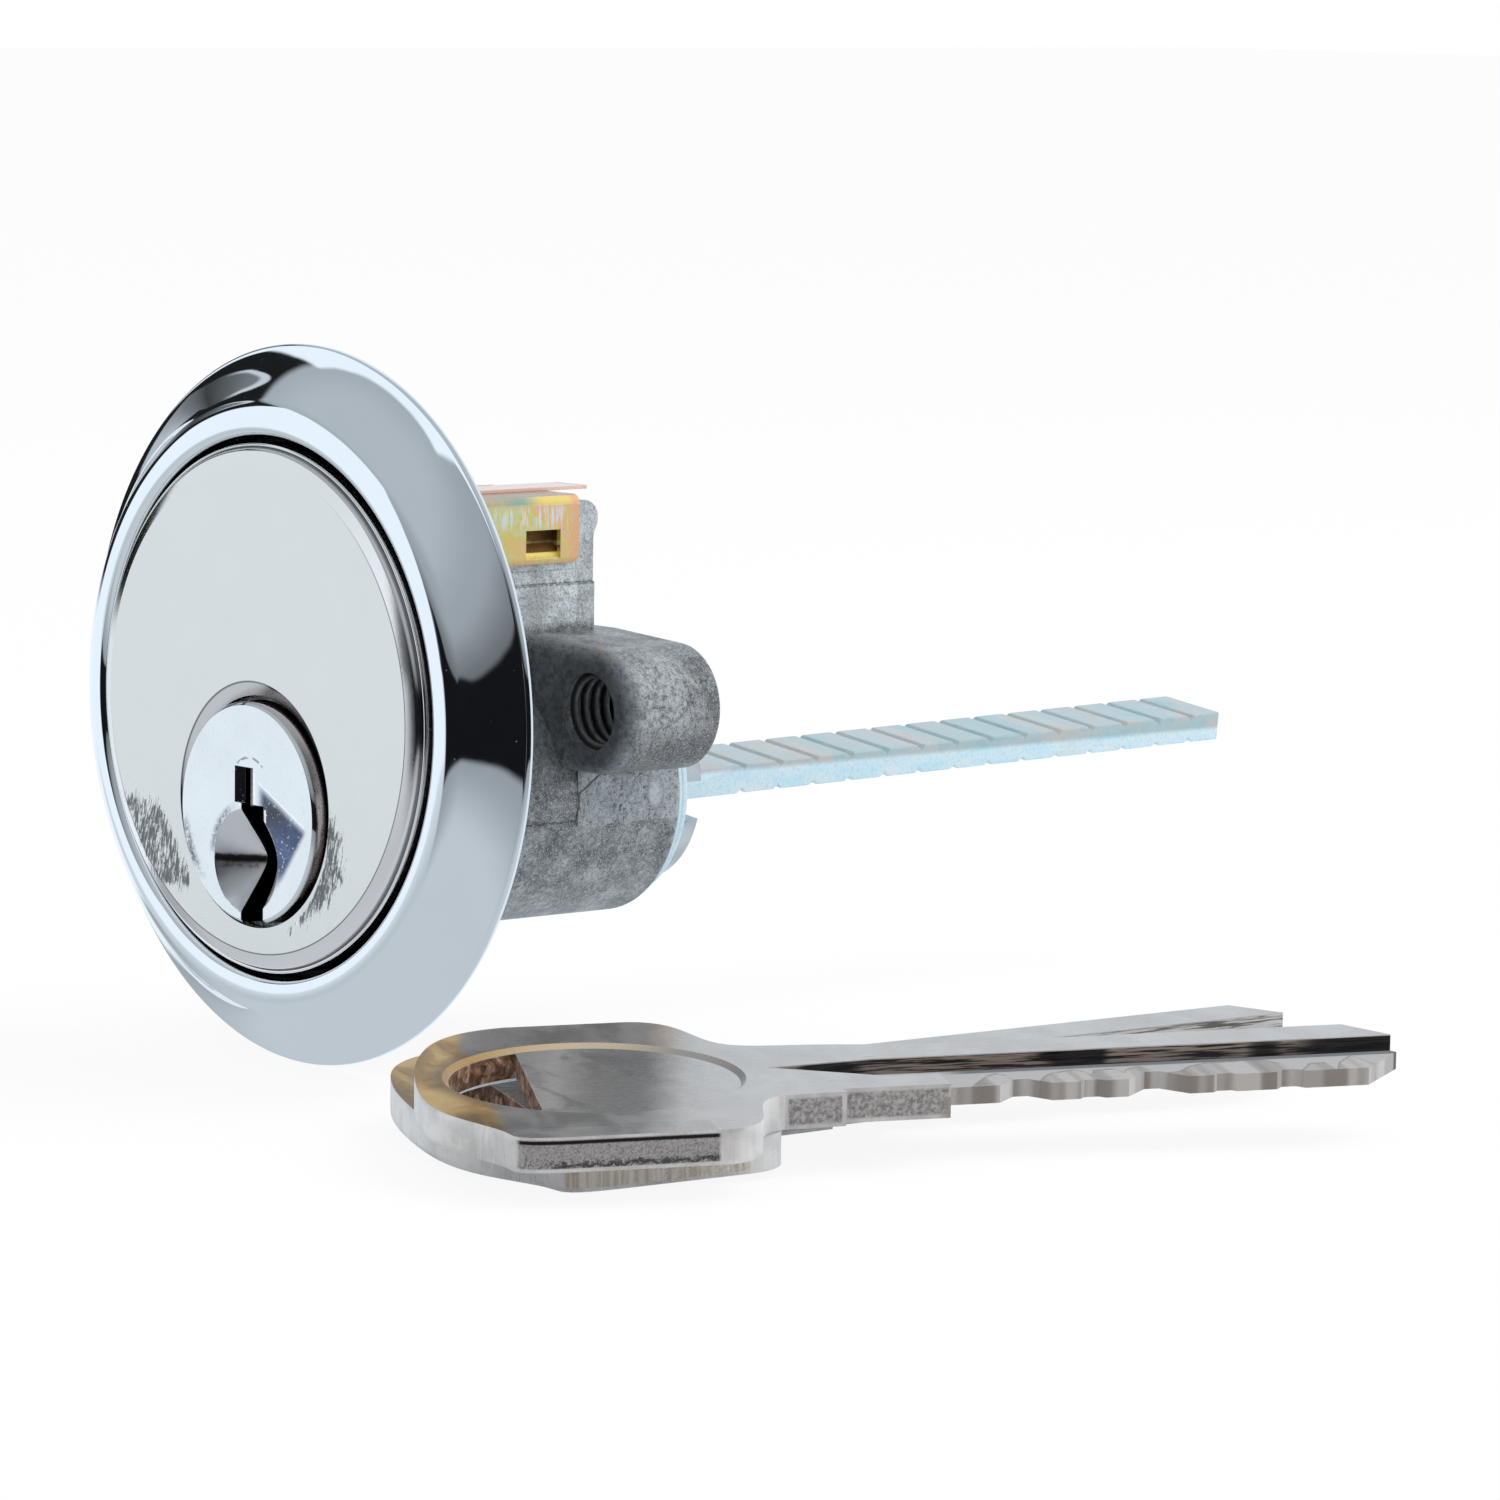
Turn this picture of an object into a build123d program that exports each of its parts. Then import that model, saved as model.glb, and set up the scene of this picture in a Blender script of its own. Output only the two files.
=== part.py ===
from build123d import *
import math
import os

# Rim cylinder lock with its two keys, in millimetres.
# Y = 0 is the door face. The plug's axis runs along Y, +Y goes into the door and +Z is up.
# The origin lies on the ring's centre line.

# Rim ring
ring_outer_r = 22.7
ring_groove = 1.25
ring_crest_y = -3.65
ring_nose = 0.4
ring_shoulder_run = 1.5
ring_shoulder_y = -2.95
ring_seat_y = -1.2
ring_seat_lap = 0.2
ring_rim_thickness = 0.4
ring_edge = 0.1
ring_relief_depth = 0.8
ring_relief_margin = 1.1

# Face cap, a pressed shell over the casting's flange
cap_outer_r = 16.25
cap_front_y = -4.2
cap_bevel = (0.6, 0.4)
cap_wall = 0.75
cap_thickness = 0.9
cap_hole_r = 7.28
countersink_r = 7.75
countersink_rise = 0.5
countersink_depth = 0.5

# Fits
running = 0.05
face_gap = 0.05
cap_fit = 0.1
cover_fit = 0.02
pin_end_gap = 0.02

# Plug
plug_z = -6.5
plug_front_y = -4.75
plug_head_r = 6.98
plug_r = 6.55
plug_shoulder_y = -1.05
plug_end_y = 27.2
plug_end_chamfer = 0.3
plug_head_chamfer = 0.2
groove_r = 5.4
slot_start_y = 24.0
slot_height = 2.6
slot_turn = -7.0

# Keyway, seen from the front
keyway_left = -0.55
keyway_right = 1.76
keyway_step_x = 0.64
keyway_top_z = -3.6
keyway_step_z = -5.9
keyway_bottom_z = -11.25
ward_x = -0.25
ward_z = (-9.2, -7.0)
entry_bevel = (0.7, 0.35)
entry_notch_depth = 2.4
dimple_r = 3.32
dimple_depth = 2.47
dimple_at = (-0.05, -9.55)

# Casting
flange_front_y = -3.25
barrel_r = 8.3
barrel_end_y = 23.9
tower_half = 4.4
tower_foot_half = 4.55
tower_step_z = 7.2
tower_top_z = 12.45
tower_end_y = 19.45
tower_crown_r = 1.15
tower_crown_proud = 0.35
tower_crown_z = (10.0, 11.2)
lug_x = 10.9
lug_z = -0.3
lug_r = 4.0
lug_y = (13.9, 21.5)
lug_thread_r = 2.5
roof_z = 4.12
side_pad_x = 8.3
side_pad_z = (-7.9, -0.3)
side_pad_y = (15.2, 23.4)
edge_round = 0.5
lug_rounds = (0.9, 0.3)

# Pins and springs, one set for each chamber
chambers = 5
chamber_first_y = 0.75
chamber_pitch = 4.1
chamber_r = 1.4
chamber_floor_z = -6.9
pin_r = 1.35
pin_tip_r = 0.7
pin_tip_length = 0.6
driver_length = 4.6
driver_chamfer = 0.15
spring_wire_r = 0.22
spring_turns = 5
spring_end_gap = 0.05
cut_depths = (1.3, 0.35, 1.6, 0.3, 0.5)

# Chamber cover
cover_wall = 0.4
cover_flange_z = 8.55
cover_y = (0.5, 17.95)
cover_bend_r = 0.6
cover_corner_r = 0.6
window_z = (8.85, 10.7)
window_length = 2.8
window_centres_y = (5.0, 15.0)
tongue_reach = 0.85
tongue_rise = 0.95
tongue_edge = (0.3, 0.35)
notch_x = 3.6
notch_margin = 0.3
strip_half = 1.5
strip_thickness = 0.23
strip_end_y = 21.25

# Retaining parts behind the barrel
washer_y = (23.95, 24.4)
washer_outer_r = 7.7
clip_y = (24.45, 24.95)
clip_outer_r = 7.55
clip_gap = 5.0
clip_gap_angle = 200.0
cross_pin_y = 26.0
cross_pin_r = 0.6
cross_pin_half = 5.9

# Tail bar
bar_width = 5.5
bar_thickness = 1.95
bar_start_y = 24.5
bar_end_y = 77.3
bar_corner = 0.9
bar_lift = 0.95
snap_first_y = 33.7
snap_pitch = 3.14
snap_count = 14
snap_width = 0.7
snap_depth = 0.3

# Keys, with u along the key from the stop towards the tip and v from the back towards the cuts
key_thickness = 2.05
blade_height = 7.2
blade_length = 29.75
blade_back_u = 2.0
blade_play = 0.2
blade_step_v = (3.2, 7.6)
blade_step_depth = 1.0
blade_step_run_in = ((-9.5, 4.1), -3.0)
tip_rise_v = 3.6
tip_run = (3.0, 2.3)
cut_flat = 0.9
cut_slope = 0.9
stop_v = 10.2
stop_steps_u = (-10.2, -6.5)
neck_v = (11.1, 10.9)
bow_side = ((-22.3, -9.1), (-28.5, -3.6), (-30.55, 4.6), (-30.05, 12.2), (-27.9, 16.6), (-24.1, 18.4))
bow_near_corner = ((-15.9, 18.4), (-13.0, 16.6))
bow_back = ((-6.1, -1.2), (-10.4, -2.2), (-12.6, -7.6), (-15.2, -9.1))
bow_recess_at = (-19.95, 4.45)
bow_recess_r = 8.85
bow_recess_depth = 0.3
bow_recess_slope = 0.3
bow_hole_width = 4.7
bow_hole_turn = 6.4
bow_hole_inset = 0.35
key_rest_tilt = 4.0
key_gap = 0.1
camera_side = 49.3
front_key_turn = 14.7
rear_key_turn = 27.9
floor_z = -22.55
stack_origin = (47.05, -14.33)
front_key_stop = (21.8, 14.6)
rear_key_stop = (25.4, 18.4)

# Values worked out from those above
ring_inner_wall_r = cap_outer_r + ring_groove
flange_r = cap_outer_r - cap_wall - cap_fit
ring_bore_r = flange_r - ring_seat_lap
bore_r = plug_r + running
blade_top_z = keyway_top_z - blade_play
pin_top_z = plug_z + math.sqrt(plug_r ** 2 - pin_r ** 2) - pin_end_gap
chamber_y = [chamber_first_y + i * chamber_pitch for i in range(chambers)]
driver_bottom_z = plug_z + bore_r + pin_end_gap
spring_bottom_z = driver_bottom_z + driver_length
cover_inner_z = tower_top_z + cover_fit
cover_inner_half = tower_half + cover_fit


def cross_plane(y):
    """A plane across the plug's axis, with its own x and y along X and Z."""
    return Plane(origin=(0, y, 0), x_dir=(1, 0, 0), z_dir=(0, -1, 0))


def prism(outline, y_start, y_end):
    """An outline drawn in X and Z, drawn out from y_start to y_end."""
    return extrude(cross_plane(y_end) * outline, amount=y_end - y_start)


def rod(radius, y_start, y_end, x=0.0, z=0.0):
    """A cylinder along Y."""
    middle = (y_start + y_end) / 2
    return Pos(x, middle, z) * Rot(90, 0, 0) * Cylinder(radius, y_end - y_start)


def block(x_span, y_span, z_span):
    """A box given by its limits."""
    sizes = [high - low for low, high in (x_span, y_span, z_span)]
    middle = [(high + low) / 2 for low, high in (x_span, y_span, z_span)]
    return Pos(*middle) * Box(*sizes)


def turned(points):
    """A closed outline of radius and Y, turned about the Y axis."""
    return revolve(make_face(Polyline(*points, close=True)), Axis.Y)


def rim_ring():
    """The cast trim ring: crest, sweep out to the rim, seat lip and relieved back."""
    crest_r = ring_inner_wall_r + ring_nose
    rim_y = -ring_rim_thickness
    wall = Line((ring_inner_wall_r, ring_seat_y), (ring_inner_wall_r, ring_crest_y + ring_nose))
    nose = RadiusArc(wall @ 1, (crest_r, ring_crest_y), ring_nose)
    shoulder = TangentArc(nose @ 1, (crest_r + ring_shoulder_run, ring_shoulder_y), tangent=(1, 0))
    sweep_out = TangentArc(shoulder @ 1, (ring_outer_r - ring_edge, rim_y), tangent=shoulder % 1)
    back = Polyline(sweep_out @ 1, (ring_outer_r, rim_y + ring_edge), (ring_outer_r, -ring_edge),
                    (ring_outer_r - ring_edge, 0), (ring_bore_r, 0), (ring_bore_r, ring_seat_y), wall @ 0)
    ring = revolve(make_face(Curve() + [wall, nose, shoulder, sweep_out, back]), Axis.Y)
    relief = rod(ring_outer_r - ring_relief_margin, -ring_relief_depth, ring_relief_depth)
    relief -= rod(ring_inner_wall_r, -ring_relief_depth, ring_relief_depth)
    return ring - relief


def face_cap():
    """The bright pressed cap, with a bevelled rim and an off-centre countersink round the plug."""
    bevel_r, bevel_y = cap_bevel
    inside_r = cap_outer_r - cap_wall
    inside_y = cap_front_y + cap_thickness
    skirt_y = ring_seat_y - face_gap
    shell = turned([(0, cap_front_y), (cap_outer_r - bevel_r, cap_front_y),
                    (cap_outer_r, cap_front_y + bevel_y), (cap_outer_r, skirt_y),
                    (inside_r, skirt_y), (inside_r, inside_y), (0, inside_y)])
    hole = rod(cap_hole_r, cap_front_y, inside_y, z=plug_z)
    slope = Cone(countersink_r, cap_hole_r, countersink_depth)
    sink = Pos(0, cap_front_y + countersink_depth / 2, plug_z + countersink_rise) * Rot(-90, 0, 0) * slope
    return shell - hole - sink


def lug(side):
    """One side lug with its web, roof and threaded hole's bore."""
    near, far = lug_y
    roof_angle = math.atan2(roof_z - (lug_z + lug_r), lug_x - tower_half)
    touch_x = lug_x + lug_r * math.sin(roof_angle)
    touch_z = lug_z + lug_r * math.cos(roof_angle)
    web = Polyline((0, roof_z), (tower_half, roof_z), (touch_x, touch_z), (lug_x, lug_z),
                   (lug_x, lug_z - lug_r), (0, lug_z - lug_r), close=True)
    shape = make_face(web) + Pos(lug_x, lug_z) * Circle(lug_r)
    body = prism(shape, near, far)
    front_round, rear_round = lug_rounds
    body = fillet(body.edges().group_by(Axis.Y)[0], front_round)
    body = fillet(body.edges().group_by(Axis.Y)[-1], rear_round)
    if side < 0:
        body = mirror(body, Plane.YZ)
    return body


def tower():
    """The pin tower above its foot, with a rounded crown that swells out at the rear."""
    low, high = tower_crown_z
    swell_y = tower_end_y + tower_crown_proud
    middle = ((tower_end_y + swell_y) / 2, (low + high) / 2)
    swell = Spline((tower_end_y, low), middle, (swell_y, high), tangents=[(0, 1), (0, 1)])
    crown = RadiusArc((swell_y, high), (swell_y - tower_crown_r, tower_top_z), -tower_crown_r)
    rest = Polyline(crown @ 1, (flange_front_y, tower_top_z), (flange_front_y, plug_z),
                    (tower_end_y, plug_z), swell @ 0)
    outline = make_face(Curve() + [swell, crown, rest])
    return extrude(Plane.YZ * outline, amount=tower_half, both=True)


def cylinder_body():
    """The zinc casting: flange, barrel, pin tower, two lugs and all bores."""
    casting = rod(flange_r, flange_front_y, ring_seat_y)
    barrel = rod(barrel_r, flange_front_y, barrel_end_y, z=plug_z)
    barrel = fillet(barrel.edges().sort_by(Axis.Y)[-1], edge_round)
    casting += barrel
    tower_y = (flange_front_y, tower_end_y)
    foot = block((-tower_foot_half, tower_foot_half), tower_y, (plug_z, tower_step_z))
    casting += foot + tower()
    for side in (1, -1):
        casting += lug(side)
    pad = block((-side_pad_x, side_pad_x), side_pad_y, side_pad_z)
    casting += pad
    casting -= rod(plug_head_r + running, flange_front_y, plug_shoulder_y + face_gap, z=plug_z)
    casting -= rod(bore_r, flange_front_y, barrel_end_y, z=plug_z)
    for y in chamber_y:
        casting -= Pos(0, y, (plug_z + tower_top_z) / 2) * Cylinder(chamber_r, tower_top_z - plug_z)
    for side in (1, -1):
        casting -= rod(lug_thread_r, *lug_y, x=side * lug_x, z=lug_z)
        for y in window_centres_y:
            reach = window_length / 2 + notch_margin
            notch_z = (window_z[0] - notch_margin, window_z[1] + notch_margin)
            notch_span = sorted((side * notch_x, side * (tower_half + notch_margin)))
            casting -= block(notch_span, (y - reach, y + reach), notch_z)
    return casting


def chamber_cover():
    """The folded steel cover over the spring chambers, with windows and inbent tongues."""
    outer_half = cover_inner_half + cover_wall
    top_z = cover_inner_z + cover_wall
    outside = RectangleRounded(2 * outer_half, 2 * (top_z - cover_flange_z), cover_bend_r)
    inside = Rectangle(2 * cover_inner_half, 2 * (cover_inner_z - cover_flange_z))
    channel = Pos(0, cover_flange_z) * (outside - inside)
    upper_half = Pos(0, cover_flange_z + top_z / 2) * Rectangle(4 * outer_half, top_z)
    cover = prism(channel & upper_half, *cover_y)
    corners = cover.edges().filter_by(Axis.X).group_by(Axis.Z)[0].group_by(Axis.Y)[-1]
    cover = fillet(corners, cover_corner_r)
    low, high = window_z
    for side in (1, -1):
        for y in window_centres_y:
            span = (y - window_length / 2, y + window_length / 2)
            hole_x = sorted((side * notch_x, side * outer_half))
            cover -= block(hole_x, span, (low, high))
            tip_x = outer_half - tongue_reach
            tip_z = low + tongue_rise
            bent = Polyline((side * outer_half, low), (side * tip_x, tip_z),
                            (side * (tip_x - tongue_edge[0]), tip_z - tongue_edge[1]),
                            (side * (outer_half - cover_wall), low), close=True)
            cover += prism(make_face(bent), *span)
    return cover


def closing_strip():
    """The narrow strip on top of the cover, which stands out behind it."""
    bottom_z = cover_inner_z + cover_wall
    strip_y = (cover_y[0], strip_end_y)
    return block((-strip_half, strip_half), strip_y, (bottom_z, bottom_z + strip_thickness))


def plug():
    """The turning plug: head, keyway, pin chambers, ring groove and the slot for the tail bar."""
    body = rod(plug_head_r, plug_front_y, plug_shoulder_y, z=plug_z)
    body = chamfer(body.edges().group_by(Axis.Y)[0], plug_head_chamfer)
    tail = rod(plug_r, plug_shoulder_y, plug_end_y, z=plug_z)
    body += chamfer(tail.edges().sort_by(Axis.Y)[-1], plug_end_chamfer)
    groove_y = (washer_y[1], clip_y[1] + face_gap)
    body -= rod(plug_r + running, *groove_y, z=plug_z) - rod(groove_r, *groove_y, z=plug_z)
    slot = block((-plug_head_r, plug_head_r), (slot_start_y, plug_end_y), (-slot_height / 2, slot_height / 2))
    body -= Pos(0, 0, plug_z) * Rot(0, -slot_turn, 0) * slot
    way = Polyline((keyway_left, keyway_top_z), (keyway_step_x, keyway_top_z),
                   (keyway_step_x, keyway_step_z), (keyway_right, keyway_step_z),
                   (keyway_right, keyway_bottom_z), (keyway_left, keyway_bottom_z),
                   (keyway_left, ward_z[0]), (ward_x, ward_z[0]), (ward_x, ward_z[1]),
                   (keyway_left, ward_z[1]), close=True)
    body -= prism(make_face(way), plug_front_y, slot_start_y)
    notch_z = (plug_z - plug_head_r, keyway_bottom_z)
    body -= block((keyway_left, keyway_right), (plug_front_y, plug_front_y + entry_notch_depth), notch_z)
    bevel_x, bevel_y = entry_bevel
    bevel = Polyline((keyway_left, plug_front_y + bevel_y), (keyway_left - bevel_x, plug_front_y),
                     (keyway_left, plug_front_y), close=True)
    bevel_height = keyway_top_z - keyway_step_z
    body -= Pos(0, 0, keyway_step_z) * extrude(make_face(bevel), amount=bevel_height)
    x, z = dimple_at
    body -= Pos(x, plug_front_y + dimple_depth / 2, z) * Rot(-90, 0, 0) * Cone(dimple_r, 0, dimple_depth)
    chamber_top_z = plug_z + plug_head_r
    for y in chamber_y:
        middle_z = (chamber_floor_z + chamber_top_z) / 2
        body -= Pos(0, y, middle_z) * Cylinder(chamber_r, chamber_top_z - chamber_floor_z)
    hole = Pos(0, cross_pin_y, 0) * Cylinder(cross_pin_r, 2 * cross_pin_half)
    body -= Pos(0, 0, plug_z) * Rot(0, -slot_turn, 0) * hole
    return body


def thrust_washer():
    """The flat ring between the barrel's end and the clip."""
    return rod(washer_outer_r, *washer_y, z=plug_z) - rod(plug_r + 2 * running, *washer_y, z=plug_z)


def retaining_clip():
    """The open spring ring in the plug's groove."""
    ring = rod(clip_outer_r, *clip_y, z=plug_z) - rod(groove_r + running, *clip_y, z=plug_z)
    gap = block((0, clip_outer_r), clip_y, (-clip_gap / 2, clip_gap / 2))
    return ring - Pos(0, 0, plug_z) * Rot(0, -clip_gap_angle, 0) * gap


def cross_pin():
    """The pin through the slot that holds the tail bar."""
    pin = Pos(0, cross_pin_y, 0) * Cylinder(cross_pin_r, 2 * cross_pin_half)
    return Pos(0, 0, plug_z) * Rot(0, -slot_turn, 0) * pin


def tail_bar():
    """The flat steel bar, grooved across at equal steps so that it snaps to length."""
    length = bar_end_y - bar_start_y
    start = bar_start_y - cross_pin_y
    half_thickness = bar_thickness / 2
    bar = block((-bar_width / 2, bar_width / 2), (start, start + length), (-half_thickness, half_thickness))
    root = bar.edges().filter_by(Axis.Z).group_by(Axis.Y)[0]
    bar = chamfer(root, bar_corner)
    cutter = Polyline((-snap_width / 2, 0), (snap_width / 2, 0), (0, -snap_depth), close=True)
    wedge = extrude(Plane.YZ * make_face(cutter), amount=bar_width, both=True)
    for i in range(snap_count):
        y = snap_first_y - cross_pin_y + i * snap_pitch
        bar -= Pos(0, y, half_thickness) * wedge
        bar -= Pos(0, y, -half_thickness) * Rot(0, 180, 0) * wedge
    bar -= Cylinder(cross_pin_r + running, 2 * bar_thickness)
    return Pos(0, cross_pin_y, plug_z) * Rot(0, -slot_turn, 0) * Rot(bar_lift, 0, 0) * bar


def key_pin(i):
    """A key pin whose length matches its cut, with a cone at its tip."""
    tip_z = blade_top_z - cut_depths[i]
    shoulder_z = tip_z + pin_tip_length
    stem = Pos(0, 0, (shoulder_z + pin_top_z) / 2) * Cylinder(pin_r, pin_top_z - shoulder_z)
    point = Pos(0, 0, (tip_z + shoulder_z) / 2) * Cone(pin_tip_r, pin_r, pin_tip_length)
    return Pos(0, chamber_y[i], 0) * (stem + point)


def driver_pin(i):
    """A driver pin, flat at the shear line."""
    pin = Cylinder(pin_r, driver_length, align=(Align.CENTER, Align.CENTER, Align.MIN))
    pin = chamfer(pin.edges().filter_by(GeomType.CIRCLE), driver_chamfer)
    return Pos(0, chamber_y[i], driver_bottom_z) * pin


def pin_spring(i):
    """A small coil spring between the driver pin and the cover."""
    end_room = spring_wire_r + spring_end_gap
    free = cover_inner_z - spring_bottom_z - 2 * end_room
    coil_r = pin_r - end_room
    path = Helix(pitch=free / spring_turns, height=free, radius=coil_r)
    start = Plane(origin=path @ 0, z_dir=path % 0)
    coil = sweep(start * RegularPolygon(spring_wire_r, 4), path=path)
    return Pos(0, chamber_y[i], spring_bottom_z + end_room) * coil


def key_outline():
    """The key seen from its side: bow, neck, stop and blade with its cuts, in u and v."""
    bow_end, stop_start = stop_steps_u
    left = Spline(*bow_side, tangents=[(-1, 0.15), (1, 0)])
    near_edge = Line(left @ 1, bow_near_corner[0])
    near_corner = Spline(*bow_near_corner, (bow_end, neck_v[0]), tangents=[(1, 0), (1, -0.2)])
    first_step = Polyline(near_corner @ 1, (stop_start, neck_v[1]), (stop_start, stop_v), (0, stop_v),
                          (0, blade_height))
    cuts = [first_step @ 1]
    for y, depth in zip(chamber_y, cut_depths):
        middle = y - plug_front_y
        half_flat = cut_flat / 2
        rise = depth * cut_slope
        floor = blade_height - depth
        cuts += [(middle - half_flat - rise, blade_height), (middle - half_flat, floor),
                 (middle + half_flat, floor), (middle + half_flat + rise, blade_height)]
    cuts = trim_crossings(cuts)
    teeth = Polyline(*cuts, (blade_length - tip_run[0], blade_height), (blade_length, tip_rise_v),
                     (blade_length - tip_run[1], 0), (blade_back_u, 0))
    back = Spline(teeth @ 1, *bow_back, tangents=[(-1, 0), (-1, 0)])
    top = Line(back @ 1, left @ 0)
    return make_face(Curve() + [left, near_edge, near_corner, first_step, teeth, back, top])


def trim_crossings(points):
    """Where two neighbouring slopes cross below the crest, keep only their crossing point."""
    kept = [points[0]]
    index = 1
    while index < len(points):
        point = points[index]
        following = points[index + 1] if index + 1 < len(points) else None
        if following is not None and following[0] < point[0]:
            before = kept[-1]
            after = points[index + 2]
            slope = (point[1] - before[1]) / (point[0] - before[0])
            fall = (after[1] - following[1]) / (after[0] - following[0])
            x = (following[1] - point[1] + slope * point[0] - fall * following[0]) / (slope - fall)
            kept.append((x, point[1] + slope * (x - point[0])))
            index += 2
        else:
            kept.append(point)
            index += 1
    return kept


def key():
    """A flat key lying face up: u along X, v along Y, its grooved side upwards from Z = 0."""
    blank = extrude(key_outline(), amount=key_thickness)
    low, high = blade_step_v
    step_top = key_thickness - blade_step_depth
    run_in_start, run_in_end = blade_step_run_in
    run_in = Polyline(run_in_start, (run_in_end, low), (blade_length, low),
                      (blade_length, high), (run_in_end, high), close=True)
    blank -= extrude(Plane.XY.offset(step_top) * make_face(run_in), amount=blade_step_depth)
    x, y = bow_recess_at
    dish = Cone(bow_recess_r - bow_recess_slope, bow_recess_r, bow_recess_depth)
    for face_z in (key_thickness - bow_recess_depth / 2, bow_recess_depth / 2):
        turn = 0 if face_z > key_thickness / 2 else 180
        blank -= Pos(x, y, face_z) * Rot(turn, 0, 0) * dish
    hole_r = bow_recess_r - bow_hole_inset
    hole = Pos(x, y) * Circle(hole_r)
    edge_x = x - hole_r + bow_hole_width
    side = 4 * hole_r
    keep = Pos(edge_x, y) * Rot(0, 0, bow_hole_turn) * Pos(side / 2, 0) * Rectangle(side, side)
    blank -= extrude(hole - keep, amount=key_thickness)
    return blank


def laid_key(stop, turn, layer):
    """A key laid in the stack beside the lock, in the given layer."""
    a = math.radians(camera_side)
    across = Vector(math.cos(a), math.sin(a), 0)
    up = Vector(0, 0, 1).rotate(Axis((0, 0, 0), across), key_rest_tilt)
    ground = Plane(origin=(*stack_origin, floor_z), x_dir=across, z_dir=up)
    height = layer * (key_thickness + key_gap)
    u0, v0 = stop
    direction = Rot(0, 0, turn)
    place = ground.location * direction * Pos(u0, v0, height)
    return place * mirror(key(), Plane.XZ)


def export_parts():
    os.makedirs("parts", exist_ok=True)
    parts = {
        "rim_ring": rim_ring(),
        "face_cap": face_cap(),
        "cylinder_body": cylinder_body(),
        "chamber_cover": chamber_cover(),
        "closing_strip": closing_strip(),
        "plug": plug(),
        "thrust_washer": thrust_washer(),
        "retaining_clip": retaining_clip(),
        "cross_pin": cross_pin(),
        "tail_bar": tail_bar(),
        "front_key": laid_key(front_key_stop, front_key_turn, 1),
        "rear_key": laid_key(rear_key_stop, rear_key_turn, 0),
    }
    for i in range(chambers):
        parts[f"key_pin_{i + 1}"] = key_pin(i)
        parts[f"driver_pin_{i + 1}"] = driver_pin(i)
        parts[f"pin_spring_{i + 1}"] = pin_spring(i)
    for name, shape in parts.items():
        shape.label = name
        export_step(shape, f"parts/{name}.step")


export_parts()
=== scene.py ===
# %% [markdown]
# A rim lock cylinder and its two keys
#
# The imported model holds every piece of the lock at its real size, in metres. Y runs from
# the door's outer face into the door, Z is up, and the middle of the trim ring is the zero
# point. This lesson adds what a solid model lacks: mirror chrome, polished nickel, raw zinc
# casting, yellow and blue plated steel and brushed nickel silver, then a table, soft light
# and a camera. The size is measured first.

# %% Load the frame
import bpy
import bmesh
import math
from mathutils import Matrix, Vector


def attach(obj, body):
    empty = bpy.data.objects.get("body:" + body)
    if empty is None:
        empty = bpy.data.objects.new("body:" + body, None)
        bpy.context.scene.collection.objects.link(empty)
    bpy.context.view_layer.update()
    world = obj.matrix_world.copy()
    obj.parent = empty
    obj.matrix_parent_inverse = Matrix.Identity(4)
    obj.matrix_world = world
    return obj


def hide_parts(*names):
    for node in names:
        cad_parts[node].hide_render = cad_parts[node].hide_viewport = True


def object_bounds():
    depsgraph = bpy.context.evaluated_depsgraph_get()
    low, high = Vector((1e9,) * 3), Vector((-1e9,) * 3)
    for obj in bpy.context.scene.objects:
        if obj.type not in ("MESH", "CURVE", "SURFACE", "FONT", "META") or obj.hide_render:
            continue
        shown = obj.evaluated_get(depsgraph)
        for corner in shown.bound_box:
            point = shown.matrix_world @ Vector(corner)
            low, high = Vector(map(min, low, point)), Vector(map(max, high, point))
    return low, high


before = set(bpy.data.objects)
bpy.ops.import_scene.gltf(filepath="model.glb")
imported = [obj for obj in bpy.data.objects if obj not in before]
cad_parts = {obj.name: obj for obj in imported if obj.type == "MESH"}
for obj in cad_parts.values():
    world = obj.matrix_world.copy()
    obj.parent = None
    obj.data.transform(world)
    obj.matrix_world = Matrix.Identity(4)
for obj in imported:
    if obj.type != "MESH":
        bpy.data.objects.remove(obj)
cad_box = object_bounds()
print("CAD nodes:", len(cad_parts))
low_corner, high_corner = cad_box
print("size in mm:", [round((b - a) * 1000, 1) for a, b in zip(low_corner, high_corner)])

# %% [markdown]
# Colours and lengths
#
# A colour read from a screen is a display value from 0 to 255, but Blender's shaders want
# the amount of light that it stands for. tone() converts one into the other. grey() starts
# from an amount of light and tints it, which suits metal: bare metal is a grey mirror with
# a small tint. Blender counts in metres while a locksmith counts in millimetres, so MM
# joins the two.

# %% Tones, greys and millimetres
MM = 0.001


def tone(red, green, blue):
    """A colour given as screen values from 0 to 255."""
    return tuple(((v / 255 + 0.055) / 1.055) ** 2.4 for v in (red, green, blue)) + (1.0,)


def grey(value, tint=(1.0, 1.0, 1.0)):
    return (value * tint[0], value * tint[1], value * tint[2], 1.0)


print("a middle grey on a screen is this much light:", round(tone(128, 128, 128)[0], 3))

# %% [markdown]
# A short way to make shader nodes
#
# A finish is a net of small nodes. Made by hand in the node editor it is hard to repeat,
# and made with plain commands it takes four lines for each node. This class makes a node,
# fills a socket with a number, a colour or another node's result, and does sums. The next
# cells add to it step by step, so each kind of helper appears where it is first needed.

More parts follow.
